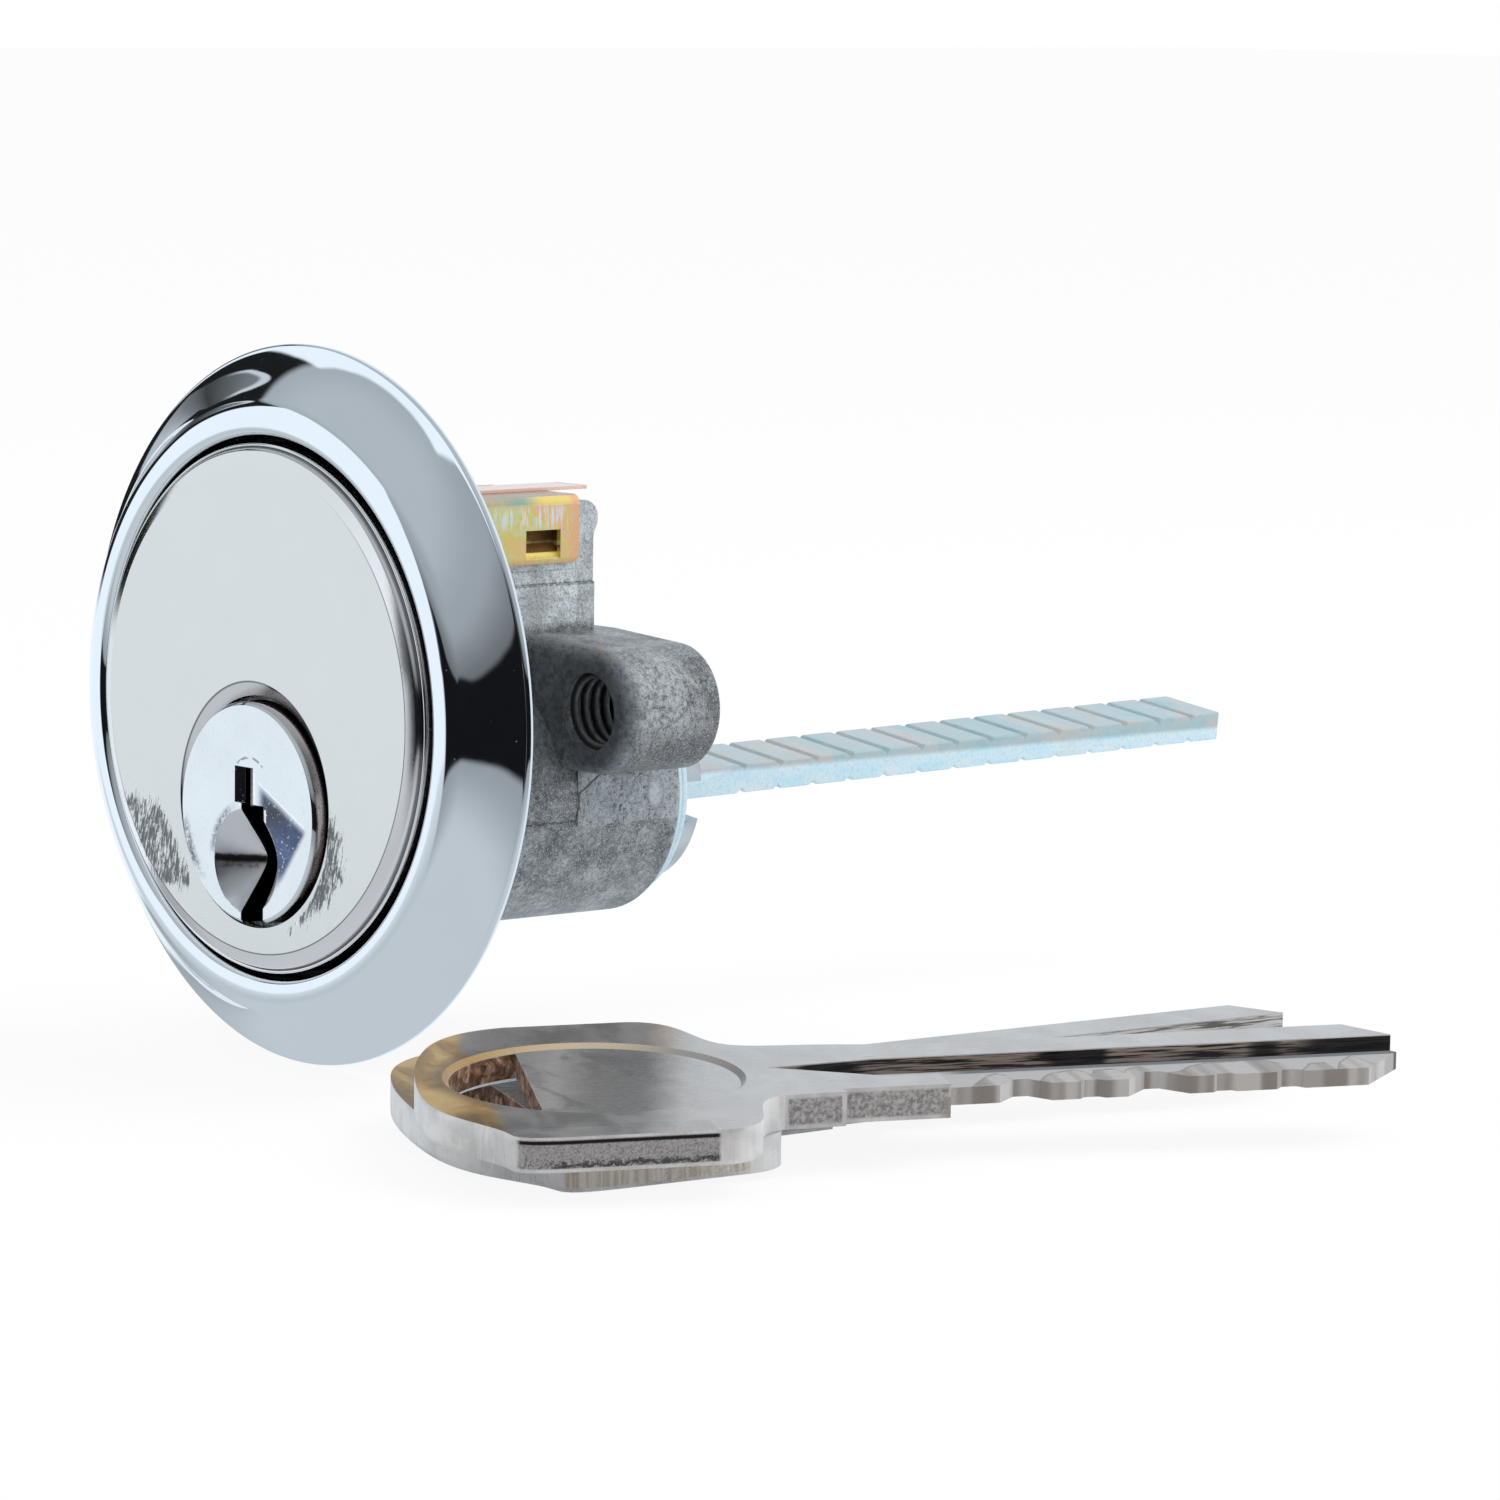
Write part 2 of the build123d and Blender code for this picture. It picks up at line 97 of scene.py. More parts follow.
# %% Nodes that hold and add
class PlainNodes:
    """Makes shader nodes with few words."""

    def __init__(self, tree):
        self.tree = tree

    def add(self, kind, **settings):
        node = self.tree.nodes.new(kind)
        for name, value in settings.items():
            setattr(node, name, value)
        return node

    def put(self, value, socket):
        if isinstance(value, bpy.types.NodeSocket):
            self.tree.links.new(value, socket)
        else:
            socket.default_value = value

    def math(self, operation, a, b=0.0, c=0.0):
        node = self.add("ShaderNodeMath", operation=operation)
        for value, socket in zip((a, b, c), node.inputs):
            self.put(value, socket)
        return node.outputs[0]


def list_helpers(kind):
    """Prints what a class adds to the one before it."""
    print(kind.__name__ + ":", ", ".join(word for word in vars(kind) if word[0] != "_"))


list_helpers(PlainNodes)

# %% [markdown]
# Masks
#
# A mask is a number from 0 to 1 that says how much of an effect a point gets. step() fades
# it in between two limits, inside() keeps it between them, times() lets several masks limit
# each other and plus() adds amounts. A soft limit looks like wear, and a hard one looks
# like a machined edge.

# %% Fades, limits and sums
class MaskNodes(PlainNodes):
    def step(self, value, low, high, start=0.0, end=1.0):
        """A smooth change from start to end while value goes from low to high."""
        if low > high:
            low, high, start, end = high, low, end, start
        node = self.add("ShaderNodeMapRange", interpolation_type="SMOOTHSTEP")
        for item, name in zip(
            (value, low, high, start, end),
            ("Value", "From Min", "From Max", "To Min", "To Max")
        ):
            self.put(item, node.inputs[name])
        return node.outputs[0]

    def inside(self, value, low, high, soft):
        """1 between low and high, falling softly to 0 outside."""
        rise = self.step(value, low - soft, low + soft)
        fall = self.step(value, high + soft, high - soft)
        return self.math("MULTIPLY", rise, fall)

    def times(self, *values):
        result = values[0]
        for value in values[1:]:
            result = self.math("MULTIPLY", result, value)
        return result

    def plus(self, *values):
        result = values[0]
        for value in values[1:]:
            result = self.math("ADD", result, value)
        return result


list_helpers(MaskNodes)

# %% [markdown]
# Circles and lines
#
# Most marks on a turned piece follow a circle, and most scratches a line. reach() measures
# how far a point is from a centre, and stroke() draws a thin straight mark. Both work from
# the real place of a point, so they keep their size in millimetres whatever the mesh looks
# like.

# %% Distance from a centre and from a line
class LineNodes(MaskNodes):
    def reach(self, a, b, at=(0.0, 0.0)):
        """The distance from a centre, measured in two directions."""
        across = self.math("SUBTRACT", a, at[0])
        along = self.math("SUBTRACT", b, at[1])
        square = self.math("MULTIPLY_ADD", across, across, self.math("MULTIPLY", along, along))
        return self.math("SQRT", square)

    def stroke(self, a, b, start, end, width, soft):
        """1 near the straight line between two points, in two directions."""
        run = (end[0] - start[0], end[1] - start[1])
        length = math.hypot(*run)
        way = (run[0] / length, run[1] / length)
        da = self.math("SUBTRACT", a, start[0])
        db = self.math("SUBTRACT", b, start[1])
        along = self.math("MULTIPLY_ADD", da, way[0], self.math("MULTIPLY", db, way[1]))
        off = self.math("MULTIPLY_ADD", da, -way[1], self.math("MULTIPLY", db, way[0]))
        near = self.step(self.math("ABSOLUTE", off), width + soft, width)
        return self.math("MULTIPLY", near, self.inside(along, 0.0, length, soft))


list_helpers(LineNodes)

# %% [markdown]
# Mixing colours
#
# mix() lays one colour over another through a mask, as paint through a stencil. noise()
# gives clouds, and ramp() turns a number into a row of colours. Real metal is never one
# even colour, so nearly every finish here starts as a cloud between two or more tones.

# %% Mixes, clouds and ramps
class ColourNodes(LineNodes):
    def mix(self, factor, a, b, kind="MIX"):
        node = self.add("ShaderNodeMix", data_type="RGBA", blend_type=kind)
        self.put(factor, node.inputs[0])
        self.put(a, node.inputs[6])
        self.put(b, node.inputs[7])
        return node.outputs[2]

    def noise(self, vector, scale, detail=3.0, rough=0.55, distortion=0.0):
        node = self.add("ShaderNodeTexNoise")
        self.put(vector, node.inputs["Vector"])
        node.inputs["Scale"].default_value = scale
        node.inputs["Detail"].default_value = detail
        node.inputs["Roughness"].default_value = rough
        node.inputs["Distortion"].default_value = distortion
        return node.outputs["Fac"]

    def ramp(self, value, stops):
        """A colour ramp: stops are (place, colour)."""
        node = self.add("ShaderNodeValToRGB")
        ramp = node.color_ramp
        while len(ramp.elements) < len(stops):
            ramp.elements.new(0.5)
        for element, (place, colour) in zip(ramp.elements, stops):
            element.position = place
            element.color = colour
        self.put(value, node.inputs[0])
        return node.outputs[0]


list_helpers(ColourNodes)

# %% [markdown]
# Where a point is
#
# The finishes are painted by place. Object coordinates of a piece in this frame are metres
# from the shared zero point, so millimetres() only has to scale them. dot() measures along
# any direction, which suits the keys, and stretch() and turned() pull a cloud out into
# brush lines.

# %% Places and directions
class PlaceNodes(ColourNodes):
    def axes(self, vector):
        node = self.add("ShaderNodeSeparateXYZ")
        self.put(vector, node.inputs[0])
        return node.outputs

    def join(self, x, y, z):
        node = self.add("ShaderNodeCombineXYZ")
        for value, socket in zip((x, y, z), node.inputs):
            self.put(value, socket)
        return node.outputs[0]

    def stretch(self, vector, x, y, z):
        node = self.add("ShaderNodeVectorMath", operation="MULTIPLY")
        self.put(vector, node.inputs[0])
        node.inputs[1].default_value = (x, y, z)
        return node.outputs[0]

    def turned(self, vector, turn, scale):
        """A vector turned by three angles in degrees and then stretched."""
        node = self.add("ShaderNodeMapping", vector_type="TEXTURE")
        self.put(vector, node.inputs["Vector"])
        node.inputs["Rotation"].default_value = [math.radians(v) for v in turn]
        node.inputs["Scale"].default_value = [1 / v for v in scale]
        return node.outputs[0]

    def dot(self, vector, direction, origin=(0, 0, 0)):
        """The distance of a point along a direction from an origin."""
        offset = self.add("ShaderNodeVectorMath", operation="SUBTRACT")
        self.put(vector, offset.inputs[0])
        offset.inputs[1].default_value = origin
        node = self.add("ShaderNodeVectorMath", operation="DOT_PRODUCT")
        self.put(offset.outputs[0], node.inputs[0])
        node.inputs[1].default_value = direction
        return node.outputs["Value"]

    def millimetres(self):
        """The place of a point in the shared frame, in millimetres."""
        place = self.add("ShaderNodeTexCoord").outputs["Object"]
        return self.stretch(place, 1 / MM, 1 / MM, 1 / MM)


list_helpers(PlaceNodes)

# %% [markdown]
# Relief, edges and corners
#
# bump() tips the light as if the surface had small hills, for grain too fine to model.
# edges() finds where the surface turns sharply, since a worn casting shines there, and
# hollows() finds corners and gaps.

# %% Bumps, worn edges and dirty corners
class Nodes(PlaceNodes):
    def bump(self, height, distance, normal=None, strength=1.0):
        node = self.add("ShaderNodeBump")
        node.inputs["Strength"].default_value = strength
        node.inputs["Distance"].default_value = distance * MM
        self.put(height, node.inputs["Height"])
        if normal is not None:
            self.put(normal, node.inputs["Normal"])
        return node.outputs[0]

    def edges(self, radius):
        """How sharply the surface turns near this point: 0 on a flat, up to 1 at an edge."""
        soft = self.add("ShaderNodeBevel", samples=4)
        soft.inputs["Radius"].default_value = radius * MM
        plain = self.add("ShaderNodeNewGeometry").outputs["Normal"]
        node = self.add("ShaderNodeVectorMath", operation="DOT_PRODUCT")
        self.put(soft.outputs[0], node.inputs[0])
        self.put(plain, node.inputs[1])
        return self.step(node.outputs["Value"], 0.995, 0.80)

    def hollows(self, distance):
        """1 deep in a corner or a gap, 0 in the open."""
        node = self.add("ShaderNodeAmbientOcclusion", samples=4)
        node.inputs["Distance"].default_value = distance * MM
        return self.math("SUBTRACT", 1.0, node.outputs["AO"])


list_helpers(Nodes)

# %% [markdown]
# Giving a piece its finish
#
# One surface shader per material is enough for metal: its metallic number makes it a
# mirror, its roughness blurs the mirror. A piece of the solid model keeps its mesh and only
# gets a material in its slot. A machined edge is never quite sharp, so soften() rounds it
# with a bevel modifier, after a weld that closes the seams between the faces of the solid.
# The modifier leaves the mesh itself as it was.

# %% A material, and a piece that wears it
def material(name, metallic, roughness):
    """A new material with one surface shader."""
    made = bpy.data.materials.new(name)
    made.use_nodes = True
    shader = made.node_tree.nodes["Principled BSDF"]
    shader.inputs["Metallic"].default_value = metallic
    shader.inputs["Roughness"].default_value = roughness
    return made, Nodes(made.node_tree), shader.inputs


def dress(node_name, made):
    """Gives a CAD node its finish."""
    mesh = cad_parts[node_name].data
    mesh.materials.clear()
    mesh.materials.append(made)
    print("finish", made.name, "on", node_name)

# %% Rounded edges
def soften(node_name, width, angle=30):
    """Rounds a CAD node's sharp edges a little, with modifiers only."""
    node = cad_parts[node_name]
    weld = node.modifiers.new("close_seams", "WELD")
    weld.merge_threshold = 0.000002
    bevel = node.modifiers.new("round_edges", "BEVEL")
    bevel.width = width * MM
    bevel.segments = 2
    bevel.limit_method = "ANGLE"
    bevel.angle_limit = math.radians(angle)
    bevel.harden_normals = True
    bevel.use_clamp_overlap = True
    print("edges of", node_name, "rounded by", width, "mm")

# %% [markdown]
# The camera
#
# The photograph was taken with a long lens from the front right, a little above. A camera
# can be aimed by eye, but here three angles, a place and a lens were fitted to points
# measured in the photograph, so every piece lands where the photograph shows it. The angles
# are turned into three directions, right, up and forward, which are the columns of the
# camera's matrix.

# %% The directions of the view
VIEW_TURN, VIEW_HEIGHT, VIEW_ROLL = 49.3424, 6.6555, 0.7297
CAMERA_AT = Vector((0.349817, -0.263771, 0.048546))
LENS_IN_PIXELS, PHOTO_WIDTH = 7000, 1500


def view_directions():
    """Right, up and forward of the photograph's view."""
    turn, height, roll = (math.radians(v) for v in (VIEW_TURN, VIEW_HEIGHT, VIEW_ROLL))
    view = Vector(
        (
            -math.sin(turn) * math.cos(height), math.cos(turn) * math.cos(height),
            -math.sin(height)
        )
    )
    level = Vector((math.cos(turn), math.sin(turn), 0))
    above = level.cross(view)
    right = math.cos(roll) * level + math.sin(roll) * above
    up = -math.sin(roll) * level + math.cos(roll) * above
    return right, up, view


print("the camera looks along", [round(v, 3) for v in view_directions()[2]])

# %% The camera itself
right, up, view = view_directions()
lens_data = bpy.data.cameras.new("studio_camera")
lens_data.sensor_width = 36
lens_data.lens = LENS_IN_PIXELS / PHOTO_WIDTH * lens_data.sensor_width
lens_data.clip_start = 0.01
camera = bpy.data.objects.new("studio_camera", lens_data)
bpy.context.scene.collection.objects.link(camera)
pose = Matrix((right, up, -view)).transposed().to_4x4()
pose.translation = CAMERA_AT
camera.matrix_world = pose
bpy.context.scene.camera = camera
bpy.context.scene.view_settings.view_transform = "Standard"
print("lens", round(lens_data.lens), "mm, distance", round(CAMERA_AT.length * 1000), "mm")

# %% [markdown]
# The table
#
# The lock stands on its ring, and the keys lie on a white table. A plane with a pale paper
# finish would look grey in the picture, because the lamp is only as strong as the metal
# needs. So nine tenths of what the camera sees of it glows at strength 1, which is white,
# and the last tenth is the lit paper, which keeps the shadows. Mirrors don't see the table
# at all: what they see is drawn in the world, where it can be placed freely.

# %% A floor of pale paper
FLOOR_Z = -0.0227
bpy.ops.mesh.primitive_plane_add(size=6, location=(0, 0, FLOOR_Z))
plane = bpy.context.object
plane.name = "floor"
floor_paper = bpy.data.materials.new("floor_paper")
floor_paper.use_nodes = True
tree = floor_paper.node_tree
n = Nodes(tree)
shader = tree.nodes["Principled BSDF"].inputs
shader["Roughness"].default_value = 0.9
shader["Specular IOR Level"].default_value = 0.0
paper = n.noise(n.millimetres(), 0.4)
n.put(n.mix(paper, grey(0.90), grey(0.94)), shader["Base Color"])
print("the table lies", round(-FLOOR_Z / MM, 1), "mm below the middle of the ring")

# %% White to the camera, clear to mirrors
GLOW_SHARE = 0.90


def choose(n, factor, low, high):
    """One surface where the factor is 0, the other where it is 1."""
    node = n.add("ShaderNodeMixShader")
    for value, socket in zip((factor, low, high), node.inputs):
        n.put(value, socket)
    return node.outputs[0]


light = n.add("ShaderNodeLightPath").outputs
glow = n.add("ShaderNodeEmission")
glow.inputs[0].default_value = (1, 1, 1, 1)
glow.inputs[1].default_value = 1.0
lit = tree.nodes["Principled BSDF"].outputs[0]
seen = choose(n, GLOW_SHARE, lit, glow.outputs[0])
solid = choose(n, light["Is Camera Ray"], lit, seen)
clear = n.add("ShaderNodeBsdfTransparent")
table = choose(n, light["Is Glossy Ray"], solid, clear.outputs[0])
n.put(table, tree.nodes["Material Output"].inputs[0])
plane.data.materials.append(floor_paper)
print("share of the table that glows:", GLOW_SHARE)

# %% [markdown]
# What the polished metal sees
#
# Chrome has no colour of its own: it is a picture of the room. Lamps alone leave it black,
# and a photographed studio would be an image file that this lesson doesn't need. So the
# room is drawn here with masks, by direction: turn is the angle round from the front,
# positive to the right, and rise is the angle above the horizon. The light and dark shapes
# are placed so that the ring shows the light and dark areas of the photograph.

# %% Turn and rise of a direction
world = bpy.data.worlds.new("studio")
bpy.context.scene.world = world
world.use_nodes = True
tree = world.node_tree
n = Nodes(tree)
x, y, z = n.axes(n.add("ShaderNodeTexCoord").outputs["Generated"])
turn = n.math("DEGREES", n.math("ARCTAN2", x, n.math("MULTIPLY", y, -1.0)))
rise = n.math("DEGREES", n.math("ARCSINE", z))
print("world named", world.name)

# %% Walls above and below the horizon
above = n.plus(n.step(rise, 7, 25, 0.16, 0.38), n.step(rise, 25, 50, 0.0, 0.12))
below = n.step(rise, -12, -34, 0.34, 0.60)
wall = n.math("ADD", n.times(above, n.step(rise, 0, 1)), n.times(below, n.step(rise, 1, 0)))
colour = n.mix(1.0, grey(0), wall)


def lay(colour, mask, value, tint=(1, 1, 1)):
    shade = value if isinstance(value, bpy.types.NodeSocket) else grey(value, tint)
    return n.mix(mask, colour, shade)


print("nodes for the walls:", len(tree.nodes))

# %% [markdown]
# Dark shapes in the room
#
# Without black, chrome looks like white plastic. The dark band lies along the horizon on
# the right, and it gives the ring its black stripe there. The dark corner and the oval lens
# in it make the black patch at the ring's upper left, with the grey pool of light inside
# it.

# %% The dark band
BAND_LEFT, BAND_RIGHT = -13, 125
brim = n.plus(8.2, n.step(turn, 12, -6, 0.0, 2.6), n.step(turn, 38, 48, 0.0, 2.2))
dark = n.times(
    n.inside(turn, BAND_LEFT, BAND_RIGHT, 2.0), n.step(rise, -13.8, -11.6),
    n.step(n.math("SUBTRACT", rise, brim), 1.0, -1.0)
)
colour = lay(colour, dark, 0.008, (1.0, 0.95, 1.15))
print("dark band from", BAND_LEFT, "to", BAND_RIGHT, "degrees round")

# %% The dark corner and its oval lens
LENS_HALF_WIDTH, LENS_HALF_HEIGHT = 8.5, 15.5
slant = n.math("MAXIMUM", n.times(n.math("SUBTRACT", rise, 14.0), 0.75), 0.0)
edge = n.math("SUBTRACT", turn, n.math("SUBTRACT", slant, 80.0))
corner = n.times(n.inside(edge, -34, 0, 1.5), n.inside(rise, -2, 34, 1.5))
colour = lay(colour, corner, 0.012)
bend = n.plus(edge, n.times(n.math("MAXIMUM", n.math("SUBTRACT", 12.0, rise), 0.0), 1.2))
oval = n.reach(
    n.math("DIVIDE", n.plus(bend, 18.5), LENS_HALF_WIDTH),
    n.math("DIVIDE", n.math("SUBTRACT", rise, 16.5), LENS_HALF_HEIGHT)
)
tip = n.times(n.step(oval, 0.72, 0.84), n.step(rise, 18, 25))
inner = n.ramp(
    n.step(rise, 2, 28),
    [
        (0.05, grey(0.50)), (0.25, grey(0.20)), (0.5, grey(0.05)), (0.85, grey(0.13)),
        (1.0, grey(0.20))
    ]
)
colour = lay(colour, n.step(oval, 1.0, 0.93), n.mix(tip, inner, grey(0.62)))
print("lens", 2 * LENS_HALF_WIDTH, "degrees wide and", 2 * LENS_HALF_HEIGHT, "high")

# %% [markdown]
# Light shapes in the room
#
# A big soft light stands in front on the left: it fills the cap and the flat of the ring. A
# low glow lies under it, as light that the table sends back, a strip brightens the far
# left, and the wall behind keeps the back of the ring from going black.

# %% The soft light, the glow and the strip
SOFT_LOW, SOFT_HIGH = -9, 36.0
low = n.times(n.inside(turn, -78, -14, 3.0), n.step(rise, -34, -6), n.step(rise, 1, 0))
colour = lay(colour, n.times(low, 0.9), 0.78)
soft_box = n.times(
    n.step(edge, -1.2, 1.2), n.step(turn, -15.5, -18.5),
    n.inside(rise, SOFT_LOW, SOFT_HIGH, 0.9)
)
colour = lay(colour, soft_box, 0.95)
strip = n.times(n.inside(turn, -160, -77, 1.5), n.inside(rise, -17, -2, 1.5))
colour = lay(colour, strip, 0.97)
behind = n.times(
    n.math("GREATER_THAN", n.math("ABSOLUTE", turn), 112.0), n.inside(rise, -60, 60, 4)
)
colour = lay(colour, behind, 0.85)
print("soft light from", SOFT_LOW, "to", SOFT_HIGH, "degrees above the horizon")

# %% [markdown]
# One room for mirrored light, another for scattered light
#
# Metal shows the drawn room in its mirrored light, sharp on the ring and blurred on the
# casting. Paper and dull skins also scatter light from all sides. That light comes from a
# second room, which is brighter and more even, and the camera sees plain white behind
# everything. Light Path tells the three kinds of ray apart. The cool tint of the room is
# the cool tint of the chrome.

# %% The tint and the three kinds of ray
ROOM_TINT = (0.905, 1.0, 1.085, 1.0)
tinted = n.mix(1.0, colour, ROOM_TINT, "MULTIPLY")
mirrored = n.add("ShaderNodeBackground")
n.put(tinted, mirrored.inputs[0])
spread = n.add("ShaderNodeBackground")
n.put(n.mix(n.step(rise, -30, 60), grey(0.62), grey(0.95)), spread.inputs[0])
spread.inputs[1].default_value = 0.9
white = n.add("ShaderNodeBackground")
white.inputs[0].default_value = (1, 1, 1, 1)
light = n.add("ShaderNodeLightPath").outputs
room = choose(n, light["Is Glossy Ray"], spread.outputs[0], mirrored.outputs[0])
room = choose(n, light["Is Camera Ray"], room, white.outputs[0])
n.put(room, tree.nodes["World Output"].inputs[0])
print("nodes in the room:", len(tree.nodes))

# %% [markdown]
# One soft lamp
#
# The room lights everything from all sides, which leaves the matt pieces flat. One large
# lamp from the right, behind and above gives the casting and the keys a bright side and a
# soft shadow on the table. It is hidden from mirrors, because the room already has its own
# lights.

# %% The lamp above
def lamp(name, place, target, size, power):
    data = bpy.data.lights.new(name, "AREA")
    data.shape = "RECTANGLE"
    data.size, data.size_y = size
    data.energy = power
    made = bpy.data.objects.new(name, data)
    bpy.context.scene.collection.objects.link(made)
    made.location = place
    made.rotation_euler = (Vector(target) - Vector(place)).to_track_quat("-Z", "Y").to_euler()
    made.visible_glossy = False
    print("lamp", name, "of", power, "watts")
    return made


lamp("key_light", (0.25, 0.35, 0.5), (0, 0.02, 0), (0.4, 0.4), 2.0)

# %% [markdown]
# Meshes that this lesson makes itself
#
# A few pieces need a finer shape than the solid model has: the ring and the cap are
# mirrors, and a mirror shows every flat facet. They are built again with many more points.
# The photograph also shows a narrower gap between them than the solid model keeps for the
# fit. A new piece is told which body it moves with, and its sharp edges are marked by
# angle, so that curved faces blend and machined edges stay crisp.

# %% A new piece
def new_piece(name, verts, faces, body, made, crease):
    """A new mesh on a body, smooth except at edges sharper than crease, in degrees."""
    mesh = bpy.data.meshes.new(name)
    mesh.from_pydata(verts, [], faces)
    mesh.update()
    piece = bpy.data.objects.new(name, mesh)
    bpy.context.scene.collection.objects.link(piece)
    b = bmesh.new()
    b.from_mesh(mesh)
    bmesh.ops.recalc_face_normals(b, faces=b.faces)
    for face in b.faces:
        face.smooth = True
    for edge in b.edges:
        edge.smooth = edge.calc_face_angle(0) < math.radians(crease)
    b.to_mesh(mesh)
    b.free()
    mesh.materials.append(made)
    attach(piece, body)
    print("piece", name, "points", len(verts))
    return piece

# %% [markdown]
# Turning an outline
#
# Ring and cap are round, so they are made as on a lathe: one outline, turned about the
# axis. Blender's Screw modifier could do it, but the cap's hole sits off the middle, and
# its outline has to slide over to the plug's centre on the way in. So each point of the
# outline may carry its own shift, and the points are placed one by one.

# %% Turn an outline about the axis
ROUND = 360


def turn_piece(name, outline, segments, body, made, crease=28):
    """Turns an outline about Y; a point's third number lifts its circle's centre."""
    verts = []
    faces = []
    count = len(outline)
    for s in range(segments):
        a = 2 * math.pi * s / segments
        for radius, depth, *lift in outline:
            verts.append(
                (radius * math.cos(a) * MM, depth * MM, (radius * math.sin(a) + sum(lift)) * MM)
            )
    for s in range(segments):
        following = (s + 1) % segments
        for i in range(count):
            after = (i + 1) % count
            faces.append(
                (
                    s * count + i, following * count + i, following * count + after,
                    s * count + after
                )
            )
    return new_piece(name, verts, faces, body, made, crease)


print("flat faces round a turned piece:", ROUND)

# %% Arcs for outlines
def arc_points(centre, radius, start, end, count):
    """Points on an arc, as (distance from the axis, depth), angles in degrees."""
    angles = [math.radians(start + (end - start) * i / count) for i in range(count + 1)]
    return [
        (centre[0] + radius * math.cos(a), centre[1] + radius * math.sin(a)) for a in angles
    ]


def tangent_arc(start, heading, end, count):
    """Points on the arc that leaves start at an angle and ends at end, with the last heading."""
    chord = math.hypot(end[0] - start[0], end[1] - start[1])
    aim = math.atan2(end[1] - start[1], end[0] - start[0])
    half_turn = aim - heading
    radius = chord / (2 * math.sin(half_turn))
    points = []
    for i in range(1, count + 1):
        turned = 2 * half_turn * i / count
        x = start[0] + radius * (math.sin(heading + turned) - math.sin(heading))
        y = start[1] - radius * (math.cos(heading + turned) - math.cos(heading))
        points.append((x, y))
    return points, heading + 2 * half_turn


print(
    "a quarter circle in 3 steps:",
    [(round(a, 2), round(b, 2)) for a, b in arc_points((0, 0), 1, 0, 90, 3)]
)

# %% [markdown]
# The trim ring
#
# The ring is a chromed casting. Its mirror is nearly perfect: very low roughness, faint
# waves, and a few pits. The gap beside the cap and the back face are made dark, because
# hardly any light gets in there. The slopes of its outline decide what it mirrors, so they
# matter more than the finish: flat on the crest, a round shoulder, then a hollow sweep out
# to a thin edge.

# %% Mirror chrome
def chrome():
    made, n, shader = material("mirror_chrome", 1.0, 0.03)
    mm = n.millimetres()
    x, y, z = n.axes(mm)
    out = n.reach(x, z)
    cloud = n.noise(mm, 0.16, 2.0)
    colour = n.mix(cloud, grey(0.93, (0.965, 0.99, 1.01)), grey(0.96, (0.975, 1.0, 1.02)))
    # Painted shade: the gap beside the cap and the back face get a near-black colour.
    gap_shade = n.times(n.step(out, 17.9, 17.5), n.step(y, -2.9, -2.0))
    behind = n.step(y, -0.06, -0.02)
    dull = n.math("MAXIMUM", gap_shade, behind)
    colour = n.mix(dull, colour, tone(16, 17, 20))
    n.put(colour, shader["Base Color"])
    haze = n.noise(mm, 0.7, 4.0)
    n.put(n.plus(n.step(haze, 0.35, 0.75, 0.02, 0.06), n.times(dull, 0.4)), shader["Roughness"])
    waves = n.noise(mm, 0.35, 1.0)
    pits = n.step(n.noise(mm, 6.0, 1.0), 0.80, 0.86)
    n.put(n.bump(pits, 0.01, n.bump(waves, 0.012)), shader["Normal"])
    return made


MIRROR_CHROME = chrome()
print("nodes in the chrome:", len(MIRROR_CHROME.node_tree.nodes))

# %% The ring's outline
WALL_R, NOSE, SEAT, FRONT = 17.02, 0.62, -1.2, -3.65
CREST_END, SHOULDER_END, SWEEP_END = (17.9, FRONT), (19.4, -2.95), (22.48, -0.47)
outline = [(WALL_R, SEAT), (WALL_R, -2.2)]
outline += arc_points((WALL_R + NOSE, FRONT + NOSE), NOSE, 180, 270, 10)
shoulder, heading = tangent_arc(CREST_END, 0.0, SHOULDER_END, 24)
sweep, heading = tangent_arc(SHOULDER_END, heading, SWEEP_END, 40)
outline += [CREST_END] + shoulder + sweep
outline += arc_points((22.45, -0.22), 0.25, -72, 0, 6)
outline += [(22.7, -0.1), (22.6, 0), (21.6, 0), (21.6, -0.8)]
outline += [(17.5, -0.8), (17.5, 0), (15.2, 0), (15.2, SEAT)]
ring = turn_piece("ring", outline, ROUND, "body", MIRROR_CHROME)
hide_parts("rim_ring")
print("the ring is", round(2 * max(point[0] for point in outline), 1), "mm across")

# %% [markdown]
# The polished cap
#
# The cap is a pressed piece with the warmer shine of polished nickel. It mirrors the big
# soft light over its whole face, so its base colour alone decides how bright it looks. The
# lower part of the bevel gets a lighter base as a painted highlight, and painted shade makes
# the two fold lines dark.

# %% Nickel, bevel and fold lines
PLUG_Z = -6.5
SINK_Z = PLUG_Z + 0.5
POLISHED_NICKEL, n, shader = material("polished_nickel", 1.0, 0.1)
mm = n.millimetres()
x, y, z = n.axes(mm)
out = n.reach(x, z)
cloud = n.noise(mm, 0.22, 3.0, 0.6, 0.6)
colour = n.mix(cloud, grey(0.735, (1.025, 1.005, 0.965)), grey(0.765, (1.025, 1.01, 0.97)))
# Painted highlight: a lighter base on the lower part of the bevel.
lower = n.step(n.dot(mm, (0.55, 0, -0.835)), -9.0, 3.0)
band = n.step(out, 15.32, 15.4)
colour = n.mix(n.times(band, lower), colour, grey(0.92, (1.04, 0.99, 0.98)))
# Painted shade: dark lines along the two folds.
crease = n.times(n.inside(out, 15.33, 15.41, 0.03), lower)
colour = n.mix(n.times(crease, 0.85), colour, grey(0.04))
trough = n.inside(out, 16.30, 16.42, 0.04)
colour = n.mix(n.times(trough, 0.8), colour, grey(0.05, (1.0, 0.97, 1.1)))
print("nickel with its fold lines:", len(n.tree.nodes), "nodes")

